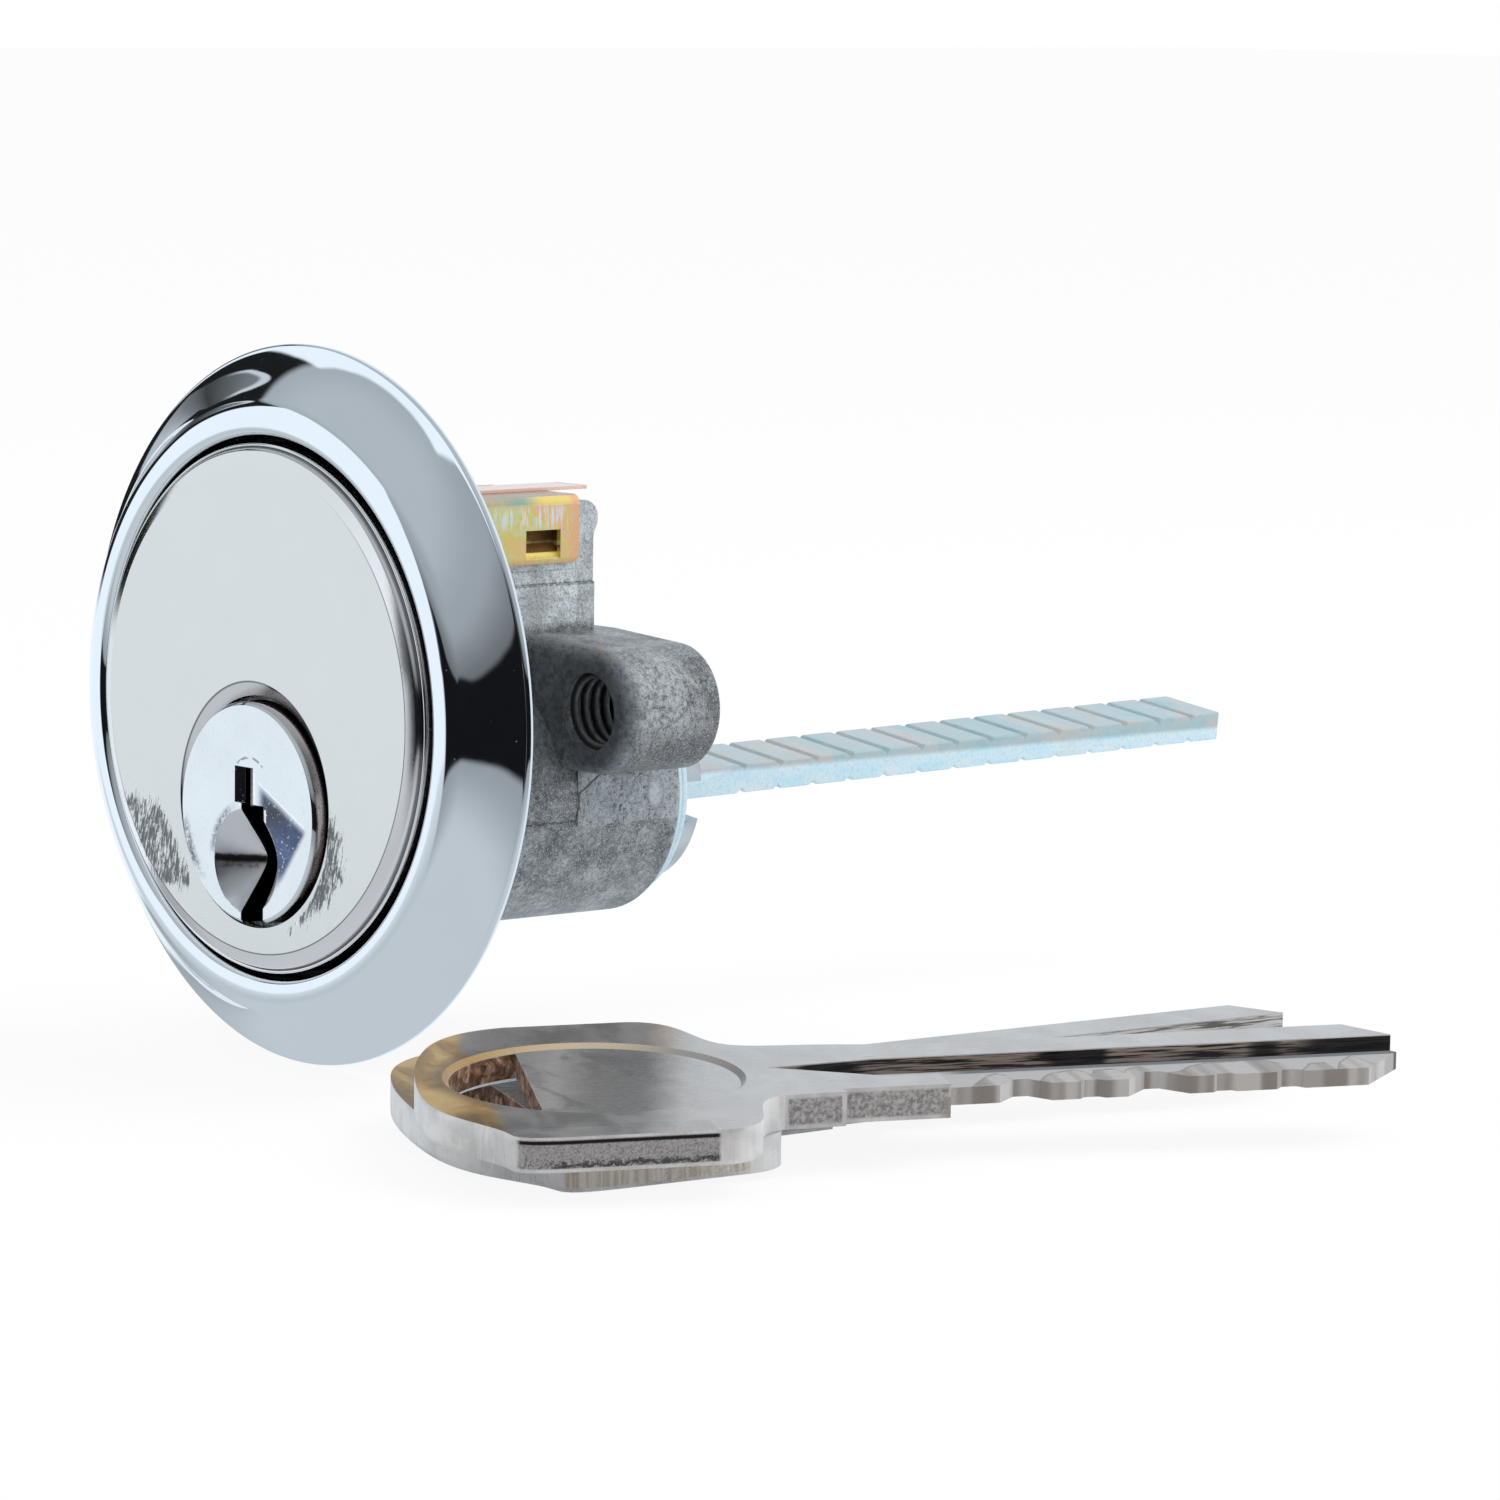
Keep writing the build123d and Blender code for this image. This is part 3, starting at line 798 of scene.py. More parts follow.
# %% The sink round the plug, and the dark sides
sink = n.step(y, -4.17, -4.12)
near_plug = n.step(n.reach(x, z, (0, SINK_Z)), 7.85, 7.8)
colour = n.mix(n.times(sink, near_plug), colour, grey(0.90, (1.04, 0.99, 0.99)))
# Painted shade: a thin dark ring along the lower half of the hole's edge.
rim = n.reach(x, z, (0, SINK_Z))
colour = n.mix(
    n.times(n.inside(rim, 7.68, 7.78, 0.04), n.step(z, -12, -6), 0.75), colour, grey(0.07)
)
# Painted shade: the cap's side behind the bead and the deep part of the hole are made dark.
skirt = n.times(n.step(y, -3.45, -2.9), n.step(out, 16.3, 16.4))
hole = n.times(n.step(y, -3.66, -3.5), n.step(out, 15.0, 14.5))
dark = n.math("MAXIMUM", skirt, hole)
print("the sink sits", SINK_Z - PLUG_Z, "mm above the plug's centre")

# %% [markdown]
# Rubbed scratches
#
# The photograph shows two rubbed patches beside the plug. Random lines over the whole face
# look fake, so the patches are bounded first: one on the left, one low on the right, fading
# outwards. In them a long stretched cloud, tipped by 12 degrees, is cut at a level, and the
# higher the wear, the lower the level, so that scratches crowd together where the rubbing
# was hardest.

# %% Where the cap is rubbed
SCRATCH_TIP = 12
round_plug = n.reach(x, z, (0, PLUG_Z))
angle = n.math("ARCTAN2", n.math("SUBTRACT", z, PLUG_Z), x)
hair = n.noise(n.turned(mm, (0, SCRATCH_TIP, 0), (5.5, 1.0, 1.0)), 1.0, 5.0, 0.75, 0.2)
blot = n.noise(mm, 1.1, 5.0, 0.75)
rub = n.plus(n.times(hair, 0.7), n.times(blot, 0.3))
low_right = n.times(
    n.inside(angle, -1.15, 0.12, 0.22), n.step(x, 2.0, 3.0), n.step(round_plug, 7.5, 7.9)
)
right = n.times(
    low_right,
    n.step(n.plus(round_plug, n.times(n.math("ABSOLUTE", n.plus(angle, 0.32)), 2.6)), 11.2, 8.4)
)
left_side = n.times(
    n.inside(n.dot(mm, (-0.82, 0, -0.57)), 11.9, 15.6, 0.8), n.step(x, -5.0, -7.0),
    n.inside(z, -12.2, -6.6, 0.9)
)
left = n.times(left_side, 0.9)
worn = n.math("MAXIMUM", left, right)
print("scratches tipped by", SCRATCH_TIP, "degrees")

# %% Scratches, shine and the dark sides
level = n.step(worn, 0.0, 1.0, 0.62, 0.44)
scratch = n.step(n.math("SUBTRACT", rub, level), -0.01, 0.07)
colour = n.mix(
    n.times(scratch, n.step(worn, 0.02, 0.2), 0.88), colour, grey(0.10, (0.95, 1.0, 1.06))
)
shine = n.times(n.step(worn, 0.3, 0.8), n.step(rub, 0.40, 0.36))
colour = n.mix(shine, colour, grey(0.97))
colour = n.mix(dark, colour, tone(20, 20, 24))
n.put(colour, shader["Base Color"])
print("scratched nickel:", len(n.tree.nodes), "nodes")

# %% The cap's gloss
fine = n.noise(n.stretch(mm, 1.2, 1.0, 9.0), 3.0, 4.0)
rough = n.plus(
    n.step(fine, 0.3, 0.8, 0.06, 0.16), n.times(dark, 0.3), n.times(scratch, 0.2),
    n.times(sink, near_plug, 0.16)
)
n.put(rough, shader["Roughness"])
n.put(n.bump(fine, 0.0015, n.bump(n.noise(mm, 0.12, 1.0), 0.02)), shader["Normal"])
print("nodes in the nickel:", len(n.tree.nodes))

# %% [markdown]
# The cap's shape
#
# The outline runs up the side, round a small bead and a trough, over the bevel, across the
# flat to the plug's hole, and back underneath. Only its inner points carry a shift down to
# the plug's centre. The crease angle is small here, since the bevel meets the flat at a
# shallow angle and should still show a line.

# %% The cap's outline
CAP_R, BEVEL_R, CAP_FRONT = 16.62, 15.4, -4.2
outline = [(CAP_R, -1.25), (CAP_R, -3.45)]
outline += arc_points((16.50, -3.50), 0.12, 15, -150, 8)
outline += arc_points((15.98, -3.64), 0.35, -8, -70, 8)
outline += [(BEVEL_R, CAP_FRONT), (7.75, CAP_FRONT, SINK_Z), (7.3, -3.72, PLUG_Z + 0.03)]
outline += [(7.28, -3.6, PLUG_Z), (7.28, -3.3, PLUG_Z), (15.5, -3.3), (15.5, -1.25)]
cap = turn_piece("cap", outline, ROUND, "body", POLISHED_NICKEL, crease=13)
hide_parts("face_cap")
print("the cap is", 2 * CAP_R, "mm across")

# %% [markdown]
# The plug
#
# The plug turns with the key. Its head is chromed brass with a keyway and a round dimple
# that leads the key in. The solid model has all of that, so only the finish is made here.
# In the dimple the photograph shows two greys with a dark bar and a trace of rust between
# them. The two greys and the dark bar are painted reflections, which is simpler than shaping
# the room for so small a face.

# %% Chrome and the dimple
DIMPLE_AT = (-0.05, -9.55)
PLUG_CHROME, n, shader = material("plug_chrome", 1.0, 0.08)
mm = n.millimetres()
x, y, z = n.axes(mm)
cloud = n.noise(mm, 0.35, 2.0, 0.5)
colour = n.mix(cloud, grey(0.80, (0.99, 1.0, 1.0)), grey(0.92, (0.99, 1.0, 1.0)))
face = n.step(y, -4.70, -4.73)
dimple = n.times(
    n.step(n.reach(x, z, DIMPLE_AT), 3.38, 3.28), n.step(y, -4.74, -4.70), n.step(y, -2.2, -2.4)
)
# Painted reflection: two greys in the dimple and a dark bar between them.
wobble = n.plus(z, n.times(n.noise(mm, 2.0, 3.0), 0.25))
upper = n.step(wobble, -9.4, -9.2)
colour = n.mix(
    dimple, colour, n.mix(upper, grey(0.62, (1.0, 0.99, 1.0)), grey(0.78, (1.03, 0.99, 1.0)))
)
bar = n.times(dimple, n.inside(wobble, -9.72, -9.22, 0.12), n.step(x, -0.3, -0.7))
colour = n.mix(bar, colour, grey(0.05, (1.1, 0.95, 0.9)))
rust = n.times(
    dimple, n.inside(wobble, -10.05, -9.75, 0.15), n.step(x, -0.3, -0.7),
    n.step(n.noise(mm, 3.0), 0.4, 0.6)
)
colour = n.mix(n.times(rust, 0.7), colour, (0.30, 0.14, 0.10, 1))
print("plug with its dimple:", len(n.tree.nodes), "nodes")

# %% [markdown]
# The blue patch
#
# To the right of the keyway the chrome mirrors something dark blue, with a sharp upper edge
# and a bright line along it. Straight limits bound it, a cloud gives it depth, and a finer
# one adds the pale specks of handled chrome.

# %% A blue reflection with specks
edge_1 = n.step(n.dot(mm, (0.45, 0, 0.893), (1.0, 0, -4.3)), 0.1, -0.6)
edge_2 = n.step(n.dot(mm, (0.80, 0, -0.60), (6.2, 0, -7.0)), 0.2, -0.3)
edge_3 = n.step(x, 1.0, 1.9)
grain = n.noise(mm, 3.5, 5.0, 0.7)
patch = n.times(face, edge_1, edge_2, edge_3, n.step(z, -11.4, -9.6), n.step(grain, 0.29, 0.42))
blue = n.ramp(
    n.plus(n.times(cloud, 0.7), n.times(grain, 0.3)),
    [
        (0.36, tone(14, 20, 38)), (0.48, tone(38, 58, 98)), (0.60, tone(62, 92, 140)),
        (0.70, tone(128, 156, 194))
    ]
)
colour = n.mix(n.times(patch, 0.90), colour, blue)
speck = n.step(n.noise(mm, 5.0, 2.0), 0.70, 0.76)
colour = n.mix(n.times(patch, speck), colour, grey(0.9))
glint = n.times(face, n.stroke(x, z, (1.2, -4.45), (6.0, -6.85), 0.03, 0.05))
print("nodes with the blue patch:", len(n.tree.nodes))

# %% [markdown]
# Tarnish, the dark keyway and the burrs
#
# Tarnish sits at the left rim of the head and round the dimple. The keyway is a deep slot:
# light that enters it hardly comes back, so its walls are made dark. A cutter leaves a thin
# burr along a slot, and the light along it is drawn as three strokes of painted highlight.

# %% Tarnish on the head
PLUG_AT = (0, PLUG_Z)
left = n.times(
    face, n.inside(n.reach(x, z, PLUG_AT), 6.2, 6.8, 0.35), n.inside(z, -10.6, -7.6, 0.8),
    n.step(x, -3.0, -4.5), n.step(grain, 0.35, 0.6)
)
colour = n.mix(n.times(left, 0.85), colour, tone(40, 52, 74))
halo = n.times(
    face, n.inside(n.reach(x, z, DIMPLE_AT), 3.3, 3.75, 0.25), n.step(z, -10.0, -8.5),
    n.step(x, -1.0, -2.2)
)
colour = n.mix(n.times(halo, n.step(grain, 0.30, 0.60), 0.75), colour, tone(50, 62, 80))
scar = n.times(
    face, n.inside(n.reach(x, z, (0.3, -5.0)), 1.95, 2.1, 0.05), n.step(z, -3.6, -3.3),
    n.step(n.noise(mm, 2.5), 0.42, 0.5)
)
colour = n.mix(n.times(scar, 0.7), colour, grey(0.12))
print("nodes with the tarnish:", len(n.tree.nodes))

# %% The keyway, the flank and the tail
WAY_LEFT, WAY_RIGHT = -0.58, 1.79
way = n.times(
    n.inside(x, WAY_LEFT, WAY_RIGHT, 0.01), n.inside(z, -13.6, -3.57, 0.01),
    n.step(y, -4.69, -4.66)
)
# Painted light: the slot's upper left wall is near white and not metal.
jamb = n.times(
    n.inside(x, -0.62, -0.50, 0.03), n.inside(z, -6.15, -3.4, 0.1),
    n.inside(y, -4.03, -2.6, 0.05)
)
way = n.math("SUBTRACT", way, n.times(jamb, way))
colour = n.mix(jamb, colour, n.mix(n.step(grain, 0.4, 0.6), grey(1.0), grey(0.8)))
# Painted shade: the plug's side in the cap's hole is dark warm grey, near black deeper in.
flank = n.times(
    n.step(n.reach(x, z, PLUG_AT), 6.84, 6.92), n.step(y, -4.66, -4.5), n.step(y, 0.0, -0.5)
)
colour = n.mix(n.times(flank, 0.85), colour, grey(0.30, (1.12, 0.97, 0.90)))
side = n.times(flank, n.step(y, -4.1, -3.7))
dark = n.math("MAXIMUM", way, side)
tail = n.times(n.step(y, 25.2, 25.8), n.step(cloud, 0.30, 0.70, 0.55, 0.95))
colour = n.mix(tail, colour, grey(0.46, (0.96, 1.0, 1.03)))
colour = n.mix(dark, colour, tone(9, 9, 11))
print("the keyway is", round(WAY_RIGHT - WAY_LEFT, 2), "mm wide")

# %% Burr highlights, gloss and relief
# Painted highlight: thin white lines along the slot's edges, and the glint.
burr_highlight = n.math(
    "MAXIMUM", n.stroke(x, z, (1.93, -6.1), (2.0, -11.2), 0.08, 0.03),
    n.stroke(x, z, (-0.85, -4.0), (-0.75, -6.1), 0.07, 0.03)
)
burr_highlight = n.math("MAXIMUM", burr_highlight, n.stroke(x, z, (0.78, -3.9), (0.86, -5.85), 0.05, 0.03))
colour = n.mix(n.math("MAXIMUM", glint, n.times(face, burr_highlight)), colour, grey(1.0))
n.put(colour, shader["Base Color"])
dull = n.plus(n.times(dimple, 0.24), n.times(patch, 0.25), n.times(dark, 0.5))
n.put(n.math("SUBTRACT", 1.0, jamb), shader["Metallic"])
n.put(n.plus(n.step(grain, 0.3, 0.75, 0.05, 0.11), dull), shader["Roughness"])
pits = n.step(n.noise(mm, 5.0, 2.0), 0.66, 0.76)
n.put(n.bump(pits, 0.006, n.bump(cloud, 0.008)), shader["Normal"])
dress("plug", PLUG_CHROME)
soften("plug", 0.07)

# %% [markdown]
# The raw casting
#
# The body is cast zinc, left as it came from the mould. Such a skin is blotchy: a large
# slow cloud and a fine rough one are blended, and a ramp turns them into four greys with a
# blue tint in the dark ones. It is half metal and half dull oxide, hence a metallic number
# near one half.

# %% Blotchy zinc
RAW_ZINC, n, shader = material("raw_zinc", 0.55, 0.42)
mm = n.millimetres()
x, y, z = n.axes(mm)
size = n.math("ABSOLUTE", x)
cloud = n.noise(mm, 0.42, 4.0, 0.6)
spots = n.noise(mm, 2.4, 6.0, 0.72, 0.3)
blend = n.plus(n.times(cloud, 0.45), n.times(spots, 0.55))
colour = n.ramp(
    blend,
    [
        (0.38, grey(0.11, (0.93, 0.98, 1.08))), (0.46, grey(0.24, (0.95, 1.0, 1.05))),
        (0.53, grey(0.43, (0.97, 1.0, 1.03))), (0.62, grey(0.68, (0.99, 1.0, 1.01)))
    ]
)
print("nodes for the blotchy skin:", len(n.tree.nodes))

# %% [markdown]
# Lighter and darker places
#
# The tower is lighter. The round end of each lug gets a painted highlight, its underside and
# its rear get painted shade, and the flat under the lug is pale. Each place is boxed in with
# limits on the three axes, and the fine cloud breaks up its border.

# %% Light tower, painted highlight on the lug, painted shade below
tower = n.times(n.step(z, 4.2, 4.9), n.step(size, 5.2, 4.8))
colour = n.mix(
    n.times(tower, 0.86), colour,
    n.mix(
        n.step(blend, 0.42, 0.58), grey(0.66, (0.95, 1.0, 1.03)), grey(1.1, (0.95, 1.0, 1.02))
    )
)
# Painted highlight on the round end of each lug, fading towards the rear.
ridge = n.times(
    n.inside(z, -2.0, 2.6, 1.2), n.step(size, 12.2, 14.0), n.step(y, 14.2, 15.8),
    n.step(y, 21.0, 17.5, 0.45, 1.0)
)
colour = n.mix(
    n.times(ridge, n.step(spots, 0.34, 0.62), 0.74), colour, grey(0.85, (0.98, 1.0, 1.01))
)
# Painted shade under the lug.
shade = n.times(n.step(z, -0.6, -2.8), n.step(size, 10.4, 11.6), n.step(y, 14.0, 15.5))
colour = n.mix(
    n.times(shade, n.step(spots, 0.30, 0.60, 0.85, 0.55)), colour, grey(0.10, (1.02, 1.0, 0.98))
)
# Painted shade towards the rear of the lug.
rear = n.times(n.step(y, 18.2, 21.4), n.step(z, 3.9, 3.4), n.step(size, 8.5, 9.5))
colour = n.mix(n.times(rear, 0.5), colour, grey(0.12, (0.98, 1.0, 1.03)))
wall = n.times(n.inside(z, -7.9, -4.6, 0.4), n.step(y, 15.0, 15.6), n.step(size, 8.1, 8.25))
colour = n.mix(
    n.times(wall, n.step(spots, 0.36, 0.52), 0.65), colour, grey(0.72, (0.93, 1.0, 1.06))
)
print("nodes with the five places:", len(n.tree.nodes))

# %% [markdown]
# Scratches in all directions
#
# Small castings are often tumbled together, so their scratches run every way. Four
# stretched clouds, each turned differently, are cut twice: their highest parts become
# bright scratches and their lowest become dark ones. A very fine cloud adds pores.

# %% Tumbled scratches and pores
ways = ((20, 35, 50), (-40, 10, -60), (70, -30, 15), (5, 60, -25))
for turn, level in zip(ways, (0.60, 0.61, 0.60, 0.61)):
    grain = n.noise(n.turned(mm, turn, (1.1, 8.0, 8.0)), 1.6, 3.0, 0.6)
    colour = n.mix(
        n.step(grain, level, level + 0.05, 0.0, 0.60), colour, grey(0.95, (0.97, 1.0, 1.02))
    )
    colour = n.mix(n.step(grain, 0.40, 0.35, 0.0, 0.45), colour, grey(0.06, (0.95, 1.0, 1.05)))
fine = n.noise(mm, 6.0, 4.0, 0.75)
colour = n.mix(n.step(fine, 0.54, 0.66, 0.0, 0.55), colour, grey(0.05))
print("scratches run in", len(ways), "directions")

# %% [markdown]
# The shaded front of the lug
#
# The front of the lug and the sloping web behind the ring are nearly black in the
# photograph, as the ring keeps the light away. A lighter streak runs up the web, and the
# skin round the threaded hole is darkest.

# %% Dark front, lit streak, dark hole
LUG_X, LUG_Z = 10.9, -0.3
front = n.times(n.step(size, 4.6, 5.2), n.step(y, 15.4, 13.95), n.step(z, -5.5, -3.8))
lit = n.stroke(x, z, (8.3, -4.6), (8.7, 0.4), 0.3, 0.8)
colour = n.mix(
    n.times(front, n.math("SUBTRACT", 0.82, n.times(lit, 0.6))), colour,
    n.mix(
        n.step(spots, 0.35, 0.6), grey(0.19, (0.88, 1.0, 1.14)), grey(0.36, (0.92, 1.0, 1.08))
    )
)
# Painted shade: the skin round the threaded hole is darkest.
hole_shade = n.times(n.step(n.reach(size, z, (LUG_X, LUG_Z)), 4.4, 2.9), n.step(y, 14.6, 14.0))
colour = n.mix(n.times(hole_shade, 0.35), colour, grey(0.05, (0.9, 1.0, 1.15)))
print("lug holes", 2 * LUG_X, "mm apart")

# %% [markdown]
# Edges, corners and mould lines
#
# Edges are rubbed bright, and corners and gaps are made darker. The tower has a dark line
# at its foot and a faint one above it. Two halves of a mould leave a parting line, which runs
# back along the barrel, jogs up and goes on. Its path is four strokes, shaken a little by a
# cloud so that it doesn't look ruled.

# %% Bright edges and darker corners
FOOT_LOW, FOOT_HIGH = 7.05, 7.25
edge = n.step(n.edges(0.45), 0.25, 0.8)
colour = n.mix(
    n.times(edge, n.step(spots, 0.40, 0.55), n.step(y, 15.0, 16.0), 0.5), colour, grey(0.9)
)
# Corners and gaps, found by an occlusion node, are made darker.
corner_dark = n.times(n.step(n.hollows(1.8), 0.25, 0.85), n.step(spots, 0.62, 0.30))
colour = n.mix(n.times(corner_dark, 0.75), colour, grey(0.05, (0.95, 1.0, 1.05)))
foot = n.times(
    n.inside(z, FOOT_LOW, FOOT_HIGH, 0.05), n.step(size, 4.2, 4.4), n.step(spots, 0.64, 0.36)
)
colour = n.mix(n.times(foot, 0.5), colour, grey(0.06))
line = n.times(n.inside(z, 8.05, 8.1, 0.03), n.step(size, 4.2, 4.4), n.step(spots, 0.47, 0.55))
colour = n.mix(n.times(line, 0.7), colour, grey(0.06))
print("foot of the tower from", FOOT_LOW, "to", FOOT_HIGH, "mm")

# %% The parting line on the barrel
jitter = n.times(n.math("SUBTRACT", n.noise(mm, 1.8, 3.0), 0.5), 0.7)
cy, cz = n.plus(y, jitter), n.plus(z, jitter)
seam = n.stroke(cy, cz, (0.2, -7.5), (15.1, -7.6), 0.0, 0.07)
for start, end in (
    ((15.1, -7.6), (15.3, -5.8)), ((15.3, -5.8), (17.1, -4.6)), ((17.1, -4.6), (22.8, -4.45))
):
    seam = n.math("MAXIMUM", seam, n.stroke(cy, cz, start, end, 0.02, 0.08))
seam = n.times(seam, n.step(x, 6.5, 7.5), n.step(spots, 0.36, 0.46))
colour = n.mix(n.times(seam, 0.6), colour, grey(0.05))
print("nodes so far:", len(n.tree.nodes))

# %% [markdown]
# The ejector mark and the warm spots
#
# The round pale mark with a darker rim is probably left by a pin that pushed the casting
# out of its mould. A trace of brown lies in the corner above the web. Inside the cover's
# windows the casting mirrors the yellow cover and looks like brass, with one bright line.
# Last, everything but the sides of the tower is made a shade darker.

# %% A round mark, a warm corner, yellow windows
MARK_Y, MARK_Z = 21.6, -6.2
far_y = n.times(n.math("SUBTRACT", y, MARK_Y), 1.6)
oval = n.reach(far_y, z, (0.0, MARK_Z))
eye = n.times(n.inside(oval, 0.9, 1.15, 0.25), n.step(x, 8.1, 8.2), n.step(spots, 0.42, 0.55))
colour = n.mix(
    n.times(n.step(oval, 1.3, 0.4), n.step(x, 8.1, 8.2), 0.5), colour,
    grey(0.9, (0.95, 1.0, 1.04))
)
colour = n.mix(n.times(eye, 0.5), colour, grey(0.10))
warm = n.times(n.inside(y, 13.9, 15.2, 0.5), n.step(z, 2.2, 3.0), n.step(spots, 0.53, 0.58))
colour = n.mix(n.times(warm, 0.5), colour, (0.28, 0.19, 0.11, 1))
notch = n.times(
    n.inside(z, 8.5, 11.0, 0.1), n.inside(y, 3.0, 17.0, 0.1), n.step(size, 4.36, 4.30)
)
gleam = n.inside(n.plus(z, n.times(n.math("SUBTRACT", cloud, 0.5), 0.4)), 9.50, 9.90, 0.08)
colour = n.mix(notch, colour, n.mix(gleam, tone(150, 108, 58), tone(255, 232, 160)))
face = n.times(n.step(size, 4.0, 4.3), n.step(z, 4.3, 5.2), n.step(y, 18.4, 17.6))
colour = n.mix(n.step(face, 0.0, 1.0, 0.16, 0.0), colour, grey(0.0))
print("round mark", MARK_Y, "mm back and", -MARK_Z, "mm down")

# %% The casting's gloss and relief
n.put(colour, shader["Base Color"])
n.put(n.step(spots, 0.35, 0.65, 0.30, 0.50), shader["Roughness"])
height = n.bump(spots, 0.09, n.bump(n.noise(mm, 0.6, 2.0), 0.16))
height = n.bump(fine, 0.03, height)
n.put(n.bump(seam, -0.1, n.bump(foot, -0.03, height)), shader["Normal"])
dress("cylinder_body", RAW_ZINC)
soften("cylinder_body", 0.2, 35)

# %% [markdown]
# Screw threads in the lugs
#
# The solid model has plain bores, because a modelled thread would make it heavy. Here each
# thread is one ridge with a blunt profile that winds along the hole: the profile is copied
# step by step round a helix and the copies are joined. It is dark and a little shiny, with
# a painted highlight on its crest and painted shade in its root and deeper in the hole.

# %% Cut metal
def thread_metal():
    made, n, shader = material("cut_thread", 0.8, 0.35)
    mm = n.millimetres()
    x, y, z = n.axes(mm)
    rim = n.math("MINIMUM", n.reach(x, z, (LUG_X, LUG_Z)), n.reach(x, z, (-LUG_X, LUG_Z)))
    cloud = n.noise(mm, 2.5, 3.0)
    # Painted light and shade: lighter crest, near black root, darker deeper in the hole.
    colour = n.mix(n.step(rim, 2.35, 2.1), grey(0.03), grey(0.34))
    colour = n.mix(n.step(cloud, 0.3, 0.7, 0.0, 0.4), colour, grey(0.03))
    n.put(n.mix(n.step(y, 15.5, 20.0), colour, grey(0.02)), shader["Base Color"])
    n.put(n.step(cloud, 0.3, 0.7, 0.28, 0.45), shader["Roughness"])
    n.put(n.bump(cloud, 0.03), shader["Normal"])
    print("nodes in", made.name, len(n.tree.nodes))
    return made

# %% A ridge that winds along the hole
def thread(name, x, made):
    """A screw thread as one ridge winding along the hole."""
    pitch, steps, turns = 0.82, 40, 8.6
    profile = [(2.49, -0.34), (2.10, -0.07), (2.10, 0.07), (2.49, 0.34)]
    verts = []
    faces = []
    rows = int(steps * turns)
    for i in range(rows + 1):
        a = 2 * math.pi * i / steps
        y = 14.35 + pitch * i / steps
        for radius, shift in profile:
            verts.append(
                (
                    (x + radius * math.cos(a)) * MM, (y + shift) * MM,
                    (LUG_Z + radius * math.sin(a)) * MM
                )
            )
    for i in range(rows):
        for j in range(4):
            k = (j + 1) % 4
            faces.append((4 * i + j, 4 * i + k, 4 * i + 4 + k, 4 * i + 4 + j))
    faces += [(0, 1, 2, 3), tuple(4 * rows + j for j in (3, 2, 1, 0))]
    return new_piece(name, verts, faces, "body", made, 28)


CUT_THREAD = thread_metal()
thread("thread_right", LUG_X, CUT_THREAD)
thread("thread_left", -LUG_X, CUT_THREAD)

# %% [markdown]
# Yellow plated steel
#
# The cover over the spring chambers is folded from thin steel with a yellow passivated zinc
# coat, which shines in gold, pink and green like oil on water. A thin film can be worked
# out from its thickness, but a ramp of the seen colours over one cloud is simpler and comes
# close. Near the fold the coat has silver streaks.

# %% Gold, pink and green
YELLOW_STEEL, n, shader = material("yellow_passivated_steel", 0.25, 0.28)
mm = n.millimetres()
x, y, z = n.axes(mm)
size = n.math("ABSOLUTE", x)
cloud = n.noise(n.stretch(mm, 1.0, 0.8, 1.0), 0.55, 4.0, 0.6, 1.2)
side = n.ramp(
    cloud,
    [
        (0.32, tone(228, 184, 160)), (0.43, tone(226, 194, 122)), (0.52, tone(216, 202, 118)),
        (0.62, tone(204, 216, 168)), (0.72, tone(232, 206, 176))
    ]
)
streak = n.noise(n.stretch(mm, 1.0, 5.0, 0.5), 0.9, 3.0, 0.6)
silver = n.times(
    n.inside(z, 10.9, 12.2, 0.5), n.step(streak, 0.50, 0.56), n.step(y, 17.2, 16.6)
)
colour = n.mix(n.times(silver, 0.9), side, tone(222, 228, 230))
low = n.times(n.inside(z, 9.2, 10.4, 0.6), n.step(streak, 0.62, 0.66))
colour = n.mix(low, colour, tone(200, 210, 212))
print("nodes for the sides:", len(n.tree.nodes))

# %% [markdown]
# Folds, ends, tongues and windows
#
# The fold is paler, a painted highlight in the coat's colours, the rear end more copper,
# the foot brown. Tongues are bent in at the windows. Their colours are painted reflections
# that climb from gold through a bright line to a dark one, as on a bent mirror.

# %% The fold, the rear end and the foot
FOLD_Z = 12.15
pastel = n.ramp(
    n.noise(n.stretch(mm, 1.0, 1.0, 0.3), 0.45, 3.0, 0.6),
    [(0.35, tone(184, 148, 150)), (0.5, tone(186, 172, 140)), (0.65, tone(140, 166, 156))]
)
# Painted highlight: the fold is paler, pastel at the front and yellow further back.
bend = n.step(z, FOLD_Z, 12.5)
colour = n.mix(bend, colour, n.mix(n.step(y, 13.0, 15.5), pastel, tone(236, 210, 110)))
rear = n.step(y, 16.9, 17.6)
colour = n.mix(n.times(rear, 0.75), colour, tone(236, 172, 142))
foot = n.step(z, 9.0, 8.6)
colour = n.mix(n.times(foot, 0.6), colour, tone(196, 150, 110))
print("the fold starts", FOLD_Z, "mm up")

# %% Tongues, top and inside
# Painted reflections on the tongues, in bands that climb with height.
tongue = n.times(
    n.inside(z, 8.86, 9.95, 0.02), n.step(size, 4.79, 4.74), n.step(size, 3.5, 3.7)
)
shine = n.plus(
    n.times(n.math("SUBTRACT", z, 8.86), 0.9),
    n.times(n.math("SUBTRACT", n.noise(mm, 1.5), 0.5), 0.3)
)
colour = n.mix(
    tongue, colour,
    n.ramp(
        shine,
        [
            (0.0, tone(214, 170, 70)), (0.25, tone(255, 236, 130)), (0.55, tone(226, 186, 84)),
            (0.66, tone(96, 60, 24)), (0.80, tone(255, 240, 170))
        ]
    )
)
